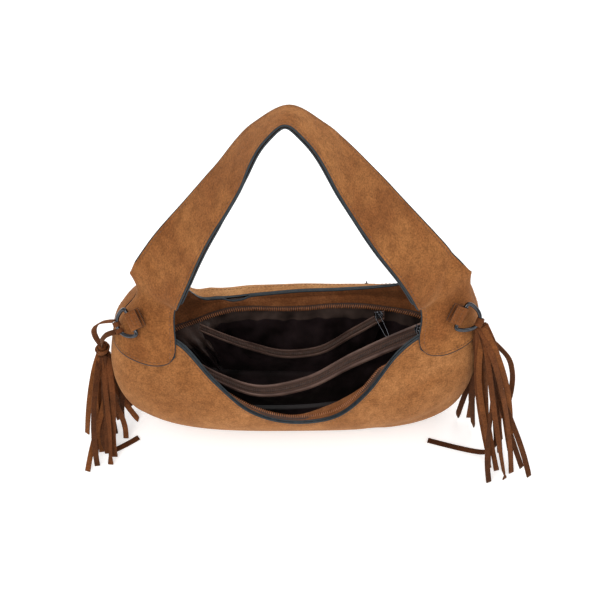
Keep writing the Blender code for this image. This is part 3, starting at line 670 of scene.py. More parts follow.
def add_beads(to: Surface, centres: Array, along: Array, lift: Array, long: Array | float, wide: float,
              high: float, sides: int = 8, bow: float = 0.0, slot: int = 0) -> None:
    """Add many small rounded bars at once: stitches, or the turns of a zip coil.

    Each is an oval profile, swept through five stations and drawn in at both ends.

    Args:
        to: the surface to add to.
        centres: middle of each bar.
        along: its direction.
        lift: its upward direction.
        long: its length.
        wide: its width.
        high: its height.
        sides: points round the profile.
        bow: how far its ends dip below its middle.
        slot: finish number.
    """
    along, lift = unit(along), unit(lift - along * np.sum(lift * along, -1, keepdims=True))
    across = np.cross(along, lift)
    station = np.array([-1.0, -0.8, 0.0, 0.8, 1.0])
    size = np.array([0.4, 0.9, 1.0, 0.9, 0.4])
    profile = round_section(0.5, sides) * (wide, high)
    step = station[None, :, None, None] * along[:, None, None, :] * long / 2
    dip = -bow * station[None, :, None, None] ** 2 * lift[:, None, None, :]
    ring = size[None, :, None, None] * (profile[None, None, :, :1] * across[:, None, None]
                                        + profile[None, None, :, 1:] * lift[:, None, None])
    points = centres[:, None, None] + step + dip + ring
    many, block = len(centres), 5 * sides
    start = np.arange(many)[:, None, None] * block
    quads = (grid_quads(5, sides, around=True)[None] + start).reshape(-1, 4)
    ends = np.concatenate([np.arange(sides)[::-1], np.arange(sides) + 4 * sides]).reshape(2, sides)
    caps = (ends[None] + start).reshape(-1, sides).tolist()
    to.add(points, quads, slot, caps=caps, cap_slot=slot)


def add_stitches(to: Surface, line: Array, lift: Array, pitch: float = 4.4 * MM, slot: int = 0) -> None:
    """Add a row of thread stitches along a line on a surface.

    Args:
        to: the surface to add to.
        line: points on the surface.
        lift: the surface's outward direction at each.
        pitch: distance from stitch to stitch.
        slot: finish number.
    """
    run = run_along(line)
    count = max(2, int(run[-1] / pitch))
    at = (np.arange(count) + 0.5) * run[-1] / count
    centre = np.stack([np.interp(at, run, line[:, k]) for k in range(3)], -1)
    up = unit(np.stack([np.interp(at, run, lift[:, k]) for k in range(3)], -1))
    ahead = np.stack([np.interp(at, run, np.gradient(line[:, k], run)) for k in range(3)], -1)
    add_beads(to, centre + 0.1 * MM * up, ahead, up, pitch * 0.72, 0.75 * MM, 0.6 * MM, sides=6, bow=0.35 * MM,
              slot=slot)


def line_in(grid: Array, inset: float) -> Array:
    """Line in a grid at a distance from its first column, for every row."""
    width = np.linalg.norm(np.diff(grid, axis=1), axis=2).sum(axis=1)
    at = np.clip(inset / width, 0, 1) * (grid.shape[1] - 1)
    low = np.clip(at.astype(int), 0, grid.shape[1] - 2)
    part = (at - low)[:, None]
    row = np.arange(len(grid))
    return grid[row, low] * (1 - part) + grid[row, low + 1] * part


# ---------------------------------------------------------------- body surface
@dataclass(frozen=True)
class Crease:
    """A soft groove or ridge along a line, seen from the front: depth falls off as a bell curve."""

    start: tuple[float, float]
    end: tuple[float, float]
    depth: float
    width: float

    def at(self, across: Array, height: Array) -> Array:
        """Displacement outwards at places across the bag and heights."""
        start, end = np.array(self.start), np.array(self.end)
        way = end - start
        rel = np.stack([across - start[0], height - start[1]], -1)
        part = np.clip(rel @ way / (way @ way), 0.0, 1.0)
        off = np.linalg.norm(rel - part[..., None] * way, axis=-1)
        return -self.depth * np.exp(-((off / self.width) ** 2))


@dataclass(frozen=True)
class BodyShape:
    """The bag's outer surface and its mouth edges.

    At a height the section is |x / wide|^c + |y / depth|^c = 1; its sizes follow smooth curves of height.
    """

    corner: float = 2.9
    leather: float = 1.8 * MM
    # Height, half width, front depth, rear depth, centre shift in X and in Y, skew.
    profile: tuple = ((0.000, 0.142, 0.033, 0.046, -0.003, 0.000, 0.000),
                      (0.015, 0.157, 0.044, 0.058, -0.003, 0.000, 0.000),
                      (0.040, 0.174, 0.059, 0.070, -0.004, 0.000, 0.010),
                      (0.075, 0.186, 0.0745, 0.0775, -0.005, 0.000, 0.020),
                      (0.110, 0.191, 0.076, 0.0785, -0.005, 0.000, 0.030),
                      (0.150, 0.188, 0.066, 0.070, -0.004, 0.000, 0.040),
                      (0.185, 0.176, 0.050, 0.054, -0.001, 0.002, 0.035),
                      (0.215, 0.163, 0.034, 0.037, 0.004, 0.006, 0.020),
                      (0.240, 0.167, 0.014, 0.016, 0.000, 0.010, 0.000),
                      (0.252, 0.171, 0.006, 0.006, 0.000, 0.012, 0.000))
    # Mouth edges: position across the bag and height.
    front_rim: tuple = ((-0.190, 0.190), (-0.140, 0.190), (-0.122, 0.187), (-0.085, 0.149), (-0.050, 0.108),
                        (-0.020, 0.089), (0.012, 0.086), (0.040, 0.098), (0.070, 0.133), (0.096, 0.170),
                        (0.118, 0.186), (0.140, 0.190), (0.190, 0.190))
    back_rim: tuple = ((-0.190, 0.172), (-0.140, 0.170), (-0.128, 0.148), (-0.112, 0.110), (-0.088, 0.101),
                       (-0.045, 0.103), (0.000, 0.108), (0.045, 0.110), (0.085, 0.118), (0.110, 0.130),
                       (0.130, 0.158), (0.145, 0.172), (0.190, 0.174))
    # Top edge of the rear zip tape, and how far the rear panel stands out: position across, then value.
    back_zip: tuple = ((-0.190, 0.079), (-0.127, 0.0870), (-0.098, 0.0960), (-0.081, 0.1000), (-0.055, 0.1010),
                       (-0.024, 0.0985), (0.007, 0.0990), (0.033, 0.1015), (0.067, 0.1025), (0.102, 0.1010),
                       (0.190, 0.0930))
    back_full: tuple = ((-0.190, 0.000), (-0.165, 0.004), (-0.135, 0.014), (-0.105, 0.020), (-0.065, 0.019),
                        (-0.020, 0.015), (0.030, 0.012), (0.070, 0.009), (0.120, 0.003), (0.150, 0.000),
                        (0.190, 0.000))
    widest: float = 0.100
    full_roll: float = 0.010
    full_low: float = 0.070
    full_high: float = 0.142
    full_fade: float = 0.030
    # How far the front facing and tape lie inwards like a shelf: position across, then distance.
    front_shelf: tuple = ((-0.190, 0.0), (-0.095, 0.0), (-0.055, 0.005), (0.000, 0.009), (0.042, 0.0145),
                          (0.072, 0.009), (0.105, 0.0), (0.190, 0.0))
    front_creases: tuple = (Crease((-0.150, 0.060), (-0.080, 0.030), 1.6 * MM, 0.011),
                            Crease((0.060, 0.040), (0.150, 0.085), 1.8 * MM, 0.012),
                            Crease((0.090, 0.120), (0.130, 0.150), 1.2 * MM, 0.009),
                            Crease((-0.130, 0.140), (-0.090, 0.110), 1.0 * MM, 0.010),
                            Crease((-0.050, 0.028), (0.060, 0.022), 1.2 * MM, 0.009))
    back_creases: tuple = (Crease((-0.115, 0.094), (-0.035, 0.088), 1.8 * MM, 0.005),
                           Crease((-0.160, 0.060), (-0.100, 0.040), 1.8 * MM, 0.012),
                           Crease((0.100, 0.050), (0.160, 0.090), 1.8 * MM, 0.012),
                           Crease((0.060, 0.108), (0.120, 0.094), 1.4 * MM, 0.007),
                           Crease((-0.040, 0.030), (0.070, 0.034), 1.2 * MM, 0.010))

    def sizes(self, height: Array) -> Array:
        """Half width, front depth, rear depth, shifts and skew at heights."""
        profile = np.array(self.profile)
        return np.moveaxis(through(profile[:, 0], profile[:, 1:], height), -1, 0)

    def point(self, turn: Array, height: Array, out: Array | float = 0.0, half: Half = Half.FRONT,
              creased: bool = True) -> Array:
        """Point of the surface.

        Args:
            turn: 0 at the right end, 1 at the left end.
            height: height above the floor.
            out: distance outside the surface.
            half: front or back half.
            creased: whether the soft creases are added.

        Returns:
            Points, one for each turn and height.
        """
        turn, height = np.broadcast_arrays(np.asarray(turn, float), np.asarray(height, float))
        wide, front, back, shift_x, shift_y, skew = self.sizes(height)
        cos, sin = np.cos(math.pi * turn), np.sin(math.pi * turn)
        if creased:
            creases = self.back_creases if half is Half.BACK else self.front_creases
            out = out + sum(c.at(shift_x + wide * cos, height) for c in creases) * np.clip(sin * 3, 0, 1)
        x = (wide + out) * np.sign(cos) * np.abs(cos) ** (2 / self.corner)
        y = ((back if half is Half.BACK else front) + out) * np.abs(sin) ** (2 / self.corner)
        y = y if half is Half.BACK else -y
        return np.stack([shift_x + x, shift_y + y + skew * x, height], -1)

    def turn_at(self, across: Array, height: Array, out: float = 0.0) -> Array:
        """Turn that gives a position across the bag at a height."""
        sizes = self.sizes(np.asarray(height, float))
        part = np.clip((np.asarray(across) - sizes[3]) / (sizes[0] + out), -1.0, 1.0)
        return np.arccos(np.sign(part) * np.abs(part) ** (self.corner / 2)) / math.pi

    def girth(self, turns: Array) -> Array:
        """Points round the body at its widest."""
        return self.point(turns, self.widest, creased=False)

    def turns(self, count: int, trim: float = 0.0) -> Array:
        """Turns that lie evenly round a half section, less a share at each end."""
        even = np.linspace(0.0, 1.0, 2001)
        run = run_along(self.girth(even))
        return np.interp(np.linspace(0.002 + trim, 0.998 - trim, count), run / run[-1], even)

    def rim(self, half: Half) -> tuple:
        """The mouth edge of a half."""
        return self.back_rim if half is Half.BACK else self.front_rim

    def fullness(self, turn: Array, height: Array) -> Array:
        """Distance that the rear panel stands out: none at its foot, its rim and its sides."""
        full, rim = np.array(self.back_full), np.array(self.back_rim)
        across = self.point(turn, height, creased=False)[..., 0]
        share = np.clip((through(rim[:, 0], rim[:, 1], across) - height) / self.full_roll, 0.0, 1.0)
        high = np.clip((self.full_high - height) / self.full_fade, 0.0, 1.0)
        return (through(full[:, 0], full[:, 1], across) * share * (2.0 - share)
                * ease(np.asarray(height) / self.full_low) * high)

    def shelf(self, turn: Array) -> Array:
        """How far the front facing lies inwards at each turn."""
        knots = np.array(self.front_shelf)
        return through(knots[:, 0], knots[:, 1], self.girth(turn)[..., 0])

    def level(self, line: tuple, turns: Array, drop: Array | float = 0.0) -> Array:
        """Height a distance below a line at each turn, found by closing in on it."""
        rim = np.array(line)
        across = self.girth(turns)[:, 0]
        for _ in range(6):
            top = through(rim[:, 0], rim[:, 1], across) - drop
            across = self.point(turns, top, creased=False)[:, 0]
        return top

    def clear(self, points: Array, room: float) -> Array:
        """Points moved outwards where they are nearer the surface than a distance."""
        sizes = self.sizes(points[:, 2])
        x = points[:, 0] - sizes[3]
        y = points[:, 1] - sizes[4] - sizes[5] * x
        depth = np.where(y > 0, sizes[2], sizes[1]) + room
        inside = (np.abs(x / (sizes[0] + room)) ** self.corner + np.abs(y / depth) ** self.corner)
        grow = 1 / np.clip(inside ** (1 / self.corner), 0.3, 1.0)
        moved = np.stack([sizes[3] + x * grow, sizes[4] + (y + sizes[5] * x) * grow, points[:, 2]], -1)
        return np.where(points[:, 2:] < 0.25, moved, points)


BODY = BodyShape()


# ---------------------------------------------------------------- suede shell
@dataclass(frozen=True)
class SuedeShell:
    """Outer panels, base and the facings turned down inside the mouth."""

    columns: int = 260
    rows: int = 56
    foot: float = 3.4 * MM
    facing_inset: float = 3.6 * MM
    facing_top: float = 2.3 * MM

    def panel(self, half: Half) -> None:
        """One half of the body from the base seam to the mouth, its mouth edge painted and sewn."""
        turns = BODY.turns(self.columns)
        top = BODY.level(BODY.rim(half), turns)
        part = 1 - np.linspace(0.0, 1.0, self.rows)[:, None] ** 1.35
        height = self.foot + (top - self.foot)[None] * part
        full = BODY.fullness(turns[None], height) if half is Half.BACK else 0.0
        outer = BODY.point(turns[None], height, full, half)
        inner = BODY.point(turns[None], height, full - BODY.leather, half)
        work = Surface()
        add_layer(work, outer, inner, Painted(top=True))
        # The rear panel takes the lighter, painted-lit copy of the suede; the front takes the plain suede.
        finish = LIT_REAR_SUEDE if half is Half.BACK else SUEDE
        name = half.value + "_panel"
        work.piece("suede_" + name, [finish, PAINT], "bag", name)
        fine = BODY.turns(self.columns * 2, 0.03)
        level = BODY.level(BODY.rim(half), fine, 3.6 * MM)
        full = BODY.fullness(fine, level) if half is Half.BACK else 0.0
        line = BODY.point(fine, level, full, half)
        lift = unit(BODY.point(fine, level, full + 0.01, half) - line)
        seam = Surface()
        add_stitches(seam, line, lift)
        seam.piece(half.value + "_mouth_stitches", [THREAD], "bag")

    def facing(self, half: Half) -> None:
        """Suede strip inside the mouth: close to the panel at its top, then leaning in with the zip tape."""
        turns = BODY.turns(self.columns, 0.10)
        top = BODY.level(BODY.rim(half), turns)
        part = np.linspace(0.0, 1.0, 22)[:, None]
        wave = 0.5 * MM * np.sin(turns * 40)[None] * part
        close = self.facing_top + (self.facing_inset - self.facing_top) * ease(part * 3) + wave
        if half is Half.BACK:
            low = BODY.level(BODY.back_zip, turns, 5.0 * MM)
            height = top[None] - part * (top - low)[None]
            below = BODY.level(BODY.back_zip, turns)[None] + 1 * MM - height
            inset = close + np.clip(below / (12 * MM), 0, 1) * 9 * MM + 1.8 * MM * ease(below / (2 * MM))
        else:
            shelf = BODY.shelf(turns)[None]
            height = top[None] - part * (12 * MM - np.minimum(shelf * 0.5, 7 * MM))
            inset = close + shelf * part
        follow = ease(1 - part * 3)[..., None]
        outer, inner = (BODY.point(turns[None], height, -inset - more, half) * follow
                        + BODY.point(turns[None], height, -inset - more, half, creased=False) * (1 - follow)
                        for more in (0.0, 0.9 * BODY.leather))
        work = Surface()
        add_layer(work, outer, inner, Painted(top=True))
        name = half.value + "_facing"
        work.piece("suede_" + name, [FACING_SUEDE, PAINT], "bag", name)

    def base(self) -> None:
        """Flat oval base with a turned edge."""
        turns = BODY.turns(120)
        ring = np.concatenate([BODY.point(turns, 0.0, -0.6 * MM, creased=False),
                               BODY.point(turns[::-1], 0.0, -0.6 * MM, Half.BACK, creased=False)])
        centre = ring.mean(axis=0)
        share = np.array([1.0, 0.998, 0.99, 0.75, 0.5, 0.25, 0.02])
        under = centre + (ring - centre) * share[:, None, None]
        under[0, :, 2] = 0.8 * MM
        over = centre + (ring - centre) * share[::-1, None, None] + (0, 0, 3.0 * MM)
        over[-1, :, 2] = 2.4 * MM
        work = Surface()
        wall = np.concatenate([over, under])
        caps = [list(range(len(ring)))[::-1], list(range((len(wall) - 1) * len(ring), len(wall) * len(ring)))]
        work.add(wall, grid_quads(len(wall), len(ring), around=True), caps=caps)
        work.piece("suede_base", [SUEDE], "bag", "base_panel")

    def build(self) -> None:
        """Build the whole shell."""
        for half in Half:
            self.panel(half)
            self.facing(half)
        self.base()


# ---------------------------------------------------------------- handle
@dataclass(frozen=True)
class Handle:
    """Two suede leaves sewn together along both edges; each opens into rounded flaps on the bag's sides."""

    columns: int = 29
    arm_rows: int = 190
    flap_rows: int = 36
    flap_foot: float = 0.164
    fold_top: float = 0.240
    foot_round: float = 0.014
    gap: float = 1.0 * MM
    inner: tuple = ((-0.1215, -0.0390, 0.226), (-0.1085, -0.0330, 0.260), (-0.088, -0.024, 0.313),
                    (-0.0555, -0.008, 0.376), (-0.028, 0.008, 0.431), (-0.013, 0.012, 0.4445),
                    (0.002, 0.008, 0.431), (0.037, -0.010, 0.370), (0.0685, -0.023, 0.313),
                    (0.0995, -0.033, 0.2635), (0.1165, -0.0385, 0.226))
    outer: tuple = ((-0.166, 0.008, 0.238), (-0.1405, 0.018, 0.279), (-0.1065, 0.031, 0.320),
                    (-0.0785, 0.040, 0.356), (-0.040, 0.049, 0.407), (-0.010, 0.052, 0.4255),
                    (0.022, 0.050, 0.404), (0.0695, 0.038, 0.354), (0.100, 0.029, 0.317),
                    (0.137, 0.016, 0.274), (0.166, 0.008, 0.236))
    creases: tuple = (Crease((0.150, 0.262), (0.128, 0.214), 2.0 * MM, 0.007),
                      Crease((-0.140, 0.262), (-0.128, 0.230), 1.2 * MM, 0.008),
                      Crease((0.105, 0.275), (0.135, 0.262), 1.0 * MM, 0.008),
                      Crease((-0.070, 0.350), (-0.050, 0.385), 0.8 * MM, 0.010),
                      Crease((0.040, 0.390), (0.060, 0.345), 0.8 * MM, 0.010))

    def edge_knots(self, side: Side, half: Half) -> Array:
        """Inner edge of a flap: heights and positions across."""
        feet = {(Side.LEFT, Half.BACK): ((self.flap_foot, -0.1300), (0.185, -0.1290)),
                (Side.LEFT, Half.FRONT): ((self.flap_foot, -0.1270), (0.188, -0.1232)),
                (Side.RIGHT, Half.BACK): ((self.flap_foot, 0.1290), (0.185, 0.1280)),
                (Side.RIGHT, Half.FRONT): ((self.flap_foot, 0.1265), (0.184, 0.1185))}[side, half]
        rest = ((0.208, -0.1240), (self.fold_top, -0.1180)) if side is Side.LEFT else \
            ((0.208, 0.1200), (self.fold_top, 0.1130))
        return np.array(feet + rest)

    def flap(self, side: Side, half: Half, out: float) -> Array:
        """Rows of an end flap from its rounded foot up to the fold, from inner edge to side.

        A row lies on the body surface; towards the fold it turns into a straight line that leads
        into the arm, and near the inner edge the foot rises as a quarter circle.
        """
        share = np.linspace(0.0, 1.0, self.columns)
        knots = self.edge_knots(side, half)
        arm_end = np.array(self.inner[0 if side is Side.LEFT else -1])
        top = self.fold_top - 0.006
        end = 0.998 if side is Side.LEFT else 0.002
        near = np.clip(1 - share * 0.058 / self.foot_round, 0.0, 1.0)
        rise = self.foot_round * (1 - np.sqrt(1 - near**2)) * 0.9
        part = np.linspace(0.0, 1.0, self.flap_rows)[:, None]
        base = self.flap_foot + (top - self.flap_foot) * part
        height = base + rise[None] * (1 - part) ** 2
        inner_x = through(knots[:, 0], knots[:, 1], height)
        start = BODY.turn_at(inner_x, height, out)
        wrapped = BODY.point(start + (end - start) * share[None], height, out, half, creased=False)
        lead = 0.006 + out if half is Half.BACK else 0.001 - out
        first, last = wrapped[:, :1], wrapped[:, -1:]
        reach = first[..., 1] * (1 - part**2) + (arm_end[1] + lead) * part**2
        inner_at = np.stack([first[..., 0], reach, base], -1)
        straight = inner_at + (last - inner_at) * share[None, :, None]
        mix = (np.clip((part - 0.35) / 0.65, 0.0, 1.0) ** 2)[..., None]
        return wrapped * (1 - mix) + straight * mix

    def leaf(self, half: Half) -> tuple[Array, Array]:
        """Far and near surfaces of a leaf, foot to foot."""
        span = np.linspace(1 / 36, 35 / 36, self.arm_rows)
        edges = []
        for knots in (self.inner, self.outer):
            points = np.array(knots)
            run = run_along(points)
            edges.append(through(run, points, span * run[-1]))
        share = np.linspace(0.0, 1.0, self.columns)[None, :, None]
        arm = edges[0][:, None] + (edges[1] - edges[0])[:, None] * share
        swell = np.sin(math.pi * share) * 1.6 * MM * np.sin(math.pi * span)[:, None, None] ** 0.5
        middle = np.sin(math.pi * (span - 1 / 36) / (34 / 36))[:, None, None]
        gap = 0.4 * MM + 1.0 * MM * (1 - np.clip(middle, 0, 1) ** 0.5)
        way = -1.0 if half is Half.BACK else 1.0
        step = normals_of(arm) * way
        grids = []
        for rise, out in ((gap + BODY.leather, self.gap + BODY.leather), (gap, self.gap)):
            grid = np.concatenate([self.flap(Side.LEFT, half, out), arm + step * (rise + swell),
                                   self.flap(Side.RIGHT, half, out)[::-1]])
            soft = ease((1.0 - share) / 0.22)
            for _ in range(6):
                grid[1:-1] += soft * ((grid[:-2] + grid[2:]) / 2 - grid[1:-1]) / 2
            grids.append(grid)
        lift = unit(grids[0] - grids[1])
        fold = sum(crease.at(grids[0][..., 0], grids[0][..., 2]) for crease in self.creases)[..., None]
        return grids[0] + lift * fold, grids[1] + lift * fold

    def build(self) -> None:
        """Build both leaves and the stitching on their outer faces."""
        low, high = self.flap_rows, self.flap_rows + self.arm_rows
        for half in Half:
            far, near = self.leaf(half)
            edge = np.zeros(len(far), bool)
            edge[low:high] = True
            work = Surface()
            add_layer(work, far, near, Painted(top=True, bottom=True, left=True, right=edge))
            node = f"handle_{half.value}_leaf"
            work.piece("suede_" + node, [HANDLE_SUEDE, PAINT], "bag", node)
            lift = unit(far - near)
            seam = Surface()
            add_stitches(seam, line_in(far, 3.6 * MM), line_in(lift, 3.6 * MM))
            turned = far[low + 4:high - 4, ::-1]
            add_stitches(seam, line_in(turned, 3.6 * MM), line_in(lift[low + 4:high - 4, ::-1], 3.6 * MM))
            for rows in (slice(0, self.flap_rows), slice(len(far) - 1, high, -1)):
                foot = np.swapaxes(far[rows], 0, 1)
                add_stitches(seam, line_in(foot, 3.6 * MM)[3:], np.swapaxes(lift[rows], 0, 1)[3:, 3])
            seam.piece(node + "_stitches", [THREAD], "bag")


# ---------------------------------------------------------------- mouth zip and lining
@dataclass(frozen=True)
class MouthZip:
    """The mouth's two zip tapes with their coils, below the facings."""

    width: float = 9 * MM
    pitch: float = 2.3 * MM
    inset: float = 3.6 * MM
    lean: float = 9 * MM

    def half_zip(self, half: Half, line: tuple, drop: float) -> None:
        """A tape that leans inwards, its free edge carrying the coil.

        Args:
            half: front or back.
            line: the line that it hangs from.
            drop: its distance below that line.
        """
        turns = BODY.turns(240, 0.12)
        start = BODY.level(line, turns, drop + 0.4 * MM)
        part = np.linspace(0.0, 1.0, 9)[:, None]
        wave = 0.8 * MM * ripples(turns * 0.5, 0 * turns, 0.03, 1.3)[None] * part
        height = start[None] - part * self.width + wave
        inset = self.inset + 0.4 * MM + part * self.lean + 0 * turns[None]
        if half is Half.FRONT:
            flat = ease(BODY.shelf(turns) / (7 * MM))[None]
            height = height * (1 - flat) + (BODY.level(line, turns)[None] - (0.8 + 1.8 * part) * MM) * flat
            inset = inset * (1 - flat) + (4.6 + 5.0 * part) * MM * flat
        outer = BODY.point(turns[None], height, -inset, half, creased=False)
        inner = BODY.point(turns[None], height, -inset - 0.7 * MM, half, creased=False)
        work = Surface()
        add_layer(work, outer, inner)
        name = half.value + "_zip_tape"
        work.piece("woven_" + name, [TAPE], "bag", name)
        free = even_steps((outer[-1] + inner[-1]) / 2, int(run_along(outer[-1])[-1] / self.pitch))
        side = np.stack([np.interp(np.linspace(0, 1, len(free)), np.linspace(0, 1, len(turns)),
                                   unit(outer[-1] - outer[-3])[:, k]) for k in range(3)], -1)
        lift = np.cross(np.gradient(free, axis=0), side)
        lift *= np.sign(lift[:, 2:])
        coil = Surface()
        add_beads(coil, free, side, unit(lift), 4.4 * MM, 1.35 * MM, 2.2 * MM)
        coil.piece(half.value + "_zip_coil", [COIL], "bag")

    def build(self) -> None:
        """Build both halves."""
        self.half_zip(Half.FRONT, BODY.front_rim, 12 * MM)
        self.half_zip(Half.BACK, BODY.back_zip, 0.0)


@dataclass(frozen=True)
class LiningBag:
    """Satin bag inside the shell, gathered where it is sewn to the zip tapes."""

    inset: float = 7.6 * MM
    cloth: float = 0.6 * MM
    low: float = 8.5 * MM
    gather: float = 5.0 * MM
    flat: tuple[float, float] = (0.40, 0.15)

    def wall(self, half: Half, line: tuple, drop: float) -> None:
        """Half of the bag: a gathered wall that turns into half of the bottom.

        Args:
            half: front or back.
            line: the line that it hangs from.
            drop: its distance below that line.
        """
        turns = BODY.turns(280, 0.025)
        top = BODY.level(line, turns, drop)
        part = np.concatenate([np.linspace(1.0, 0.06, 44), np.zeros(14)])[:, None]
        inward = np.concatenate([np.zeros(44), np.linspace(0.04, 1.0, 14) ** 0.8])[:, None]
        seed = 0.7 if half is Half.BACK else 2.9
        run = BODY.girth(turns)[:, 0] + turns * 0.1
        folds = ripples(run[None], part * 1.6, 0.026, seed) * (0.25 + 0.75 * part**1.5)
        sag = self.gather * folds * np.clip(part * 6, 0, 1)
        if half is Half.BACK:
            bunch = np.exp(-(((BODY.girth(turns)[:, 0] + 0.134) / 0.021) ** 2))[None]
            pleats = 1 + 0.22 * np.sin(run / 0.0016 + part * 9) * ease((1 - part) * 6)
            sag = sag + 30 * MM * bunch * pleats * ease((1 - part) * 5) * ease(part * 2.4)
        height = self.low + (top - self.low)[None] * part
        grids = []
        for more in (0.0, self.cloth):
            grid = BODY.point(turns[None], height, -self.inset - more - sag, half, creased=False)
            grid[..., 1] *= 1 - inward
            grid[..., 1] += (0.4 * MM if half is Half.BACK else -0.4 * MM) * inward
            grid[..., 0] *= 1 - 0.02 * inward
            grid[..., 2] += more * np.clip(inward * 30, 0, 1)
            grids.append(grid)
        work = Surface()
        # Painted light and shade: the top 13 rows of faces take the lighter, painted-lit satin; the rows below
        # take the darkened, painted-shade satin.
        slots = np.where(np.arange(len(part) - 1) < 13, 1, 0)
        add_layer(work, grids[0], grids[1], row_slots=slots)
        name = half.value + "_lining"
        made = work.piece("satin_" + name, [SHADED_LINING, LIT_TOP_SATIN], "bag", name)

    def build(self) -> None:
        """Build both halves."""
        self.wall(Half.FRONT, BODY.front_rim, 26 * MM)
        self.wall(Half.BACK, BODY.back_zip, 8 * MM)


@dataclass(frozen=True)
class ZippedPocket:
    """A cloth pocket that hangs from a closed zip, whose edges are folds of the lining."""

    name: str
    top: tuple
    walls: tuple
    foot: tuple[float, float]
    flat: tuple[float, float]
    width: tuple[float, float]
    band_node: str
    pitch: float = 2.0 * MM
    lift: float = 2.0 * MM

    def edge(self, count: int) -> Array:
        """The pocket's top edge."""
        return smooth_path(self.top, count)

    def wall(self, node: str, push: float) -> None:
        """Cloth from the top edge down to the bottom of the lining, with soft upright folds.

        Args:
            node: the plain solid that it stands for.
            push: distance in front of the middle, and the way its folds stand.
        """
        edge = self.edge(180)
        foot = edge * (0.80, 0.35, 0.0) + (0.0, *self.foot)
        part = np.linspace(0.0, 1.0, 46)[:, None, None]
        grid = edge[None] * (1 - part) + foot[None] * part
        way = -1.0 if push >= 0 else 1.0
        run = run_along(edge)[None]
        folds = ripples(run, part[..., 0] * 2.0, 0.034, 1.1 + push * 900)
        folds = folds * np.sin(math.pi * part[..., 0] ** 0.7)
        grid = grid + way * (abs(push) + 2.6 * MM * folds[..., None] * 0.8) * normals_of(grid) * np.sign(
            normals_of(grid)[..., 1:2].mean())
        inner = grid - way * 0.5 * MM * normals_of(grid) * np.sign(normals_of(grid)[..., 1:2].mean())
        work = Surface()
        add_layer(work, grid, inner)
        # The pocket wall takes the darkened, painted-shade copy of the lining satin.
        made = work.piece("satin_" + node, [SHADED_LINING], "bag", node)

    def band(self) -> None:
        """The closed zip along the top: satin folds outside, tapes, and the coil as a ridge.

        Across the band the height is the sum of two rounded folds near its edges and a low middle ridge.
        """
        edge = self.edge(220) + (0.0, 0.0, self.lift)
        across = np.linspace(-1.0, 1.0, 33)
        share = np.linspace(0.0, 1.0, len(edge))
        half = (self.width[0] + (self.width[1] - self.width[0]) * ease(share)) / 2
        lean = unit(np.array([0.0, 0.80, 0.45]))
        up = unit(np.cross(np.gradient(edge, axis=0), lean))
        up *= np.sign(up[:, 2:])
        fold = 1.7 * np.exp(-(((np.abs(across) - 0.80) / 0.17) ** 2)) + 0.8 * np.exp(-((across / 0.22) ** 2))
        wave = 0.5 * ripples(run_along(edge)[None], across[:, None], 0.05, 2.2)
        outer = (edge[None] + across[:, None, None] * half[None, :, None] * lean
                 + ((fold[:, None] + wave) * MM)[..., None] * up[None])
        inner = edge[None] + across[:, None, None] * half[None, :, None] * lean * 0.98 - 0.8 * MM * up[None]
        middle = np.abs((across[:-1] + across[1:]) / 2)
        # Painted light: the outer rows, the satin folds, take the lighter, painted-lit copy of the lining
        # satin; the middle rows take the tape.
        slots = np.where(middle > 0.56, 0, 1)
        work = Surface()
        add_layer(work, outer, inner, row_slots=slots)
        work.piece("zipped_" + self.band_node, [LIT_FOLD_SATIN, TAPE], "bag", self.band_node)
        ridge = even_steps(outer[16], int(run_along(edge)[-1] / self.pitch))
        coil = Surface()
        add_beads(coil, ridge, np.broadcast_to(lean, ridge.shape),
                  np.broadcast_to(up.mean(axis=0), ridge.shape), 3.2 * MM, 1.2 * MM, 1.1 * MM)
        coil.piece(self.name + "_coil", [DARK_COIL], "bag")

    def build(self) -> None:
        """Build the walls and the zip."""
        for node, push in self.walls:
            self.wall(node, push)
        self.band()


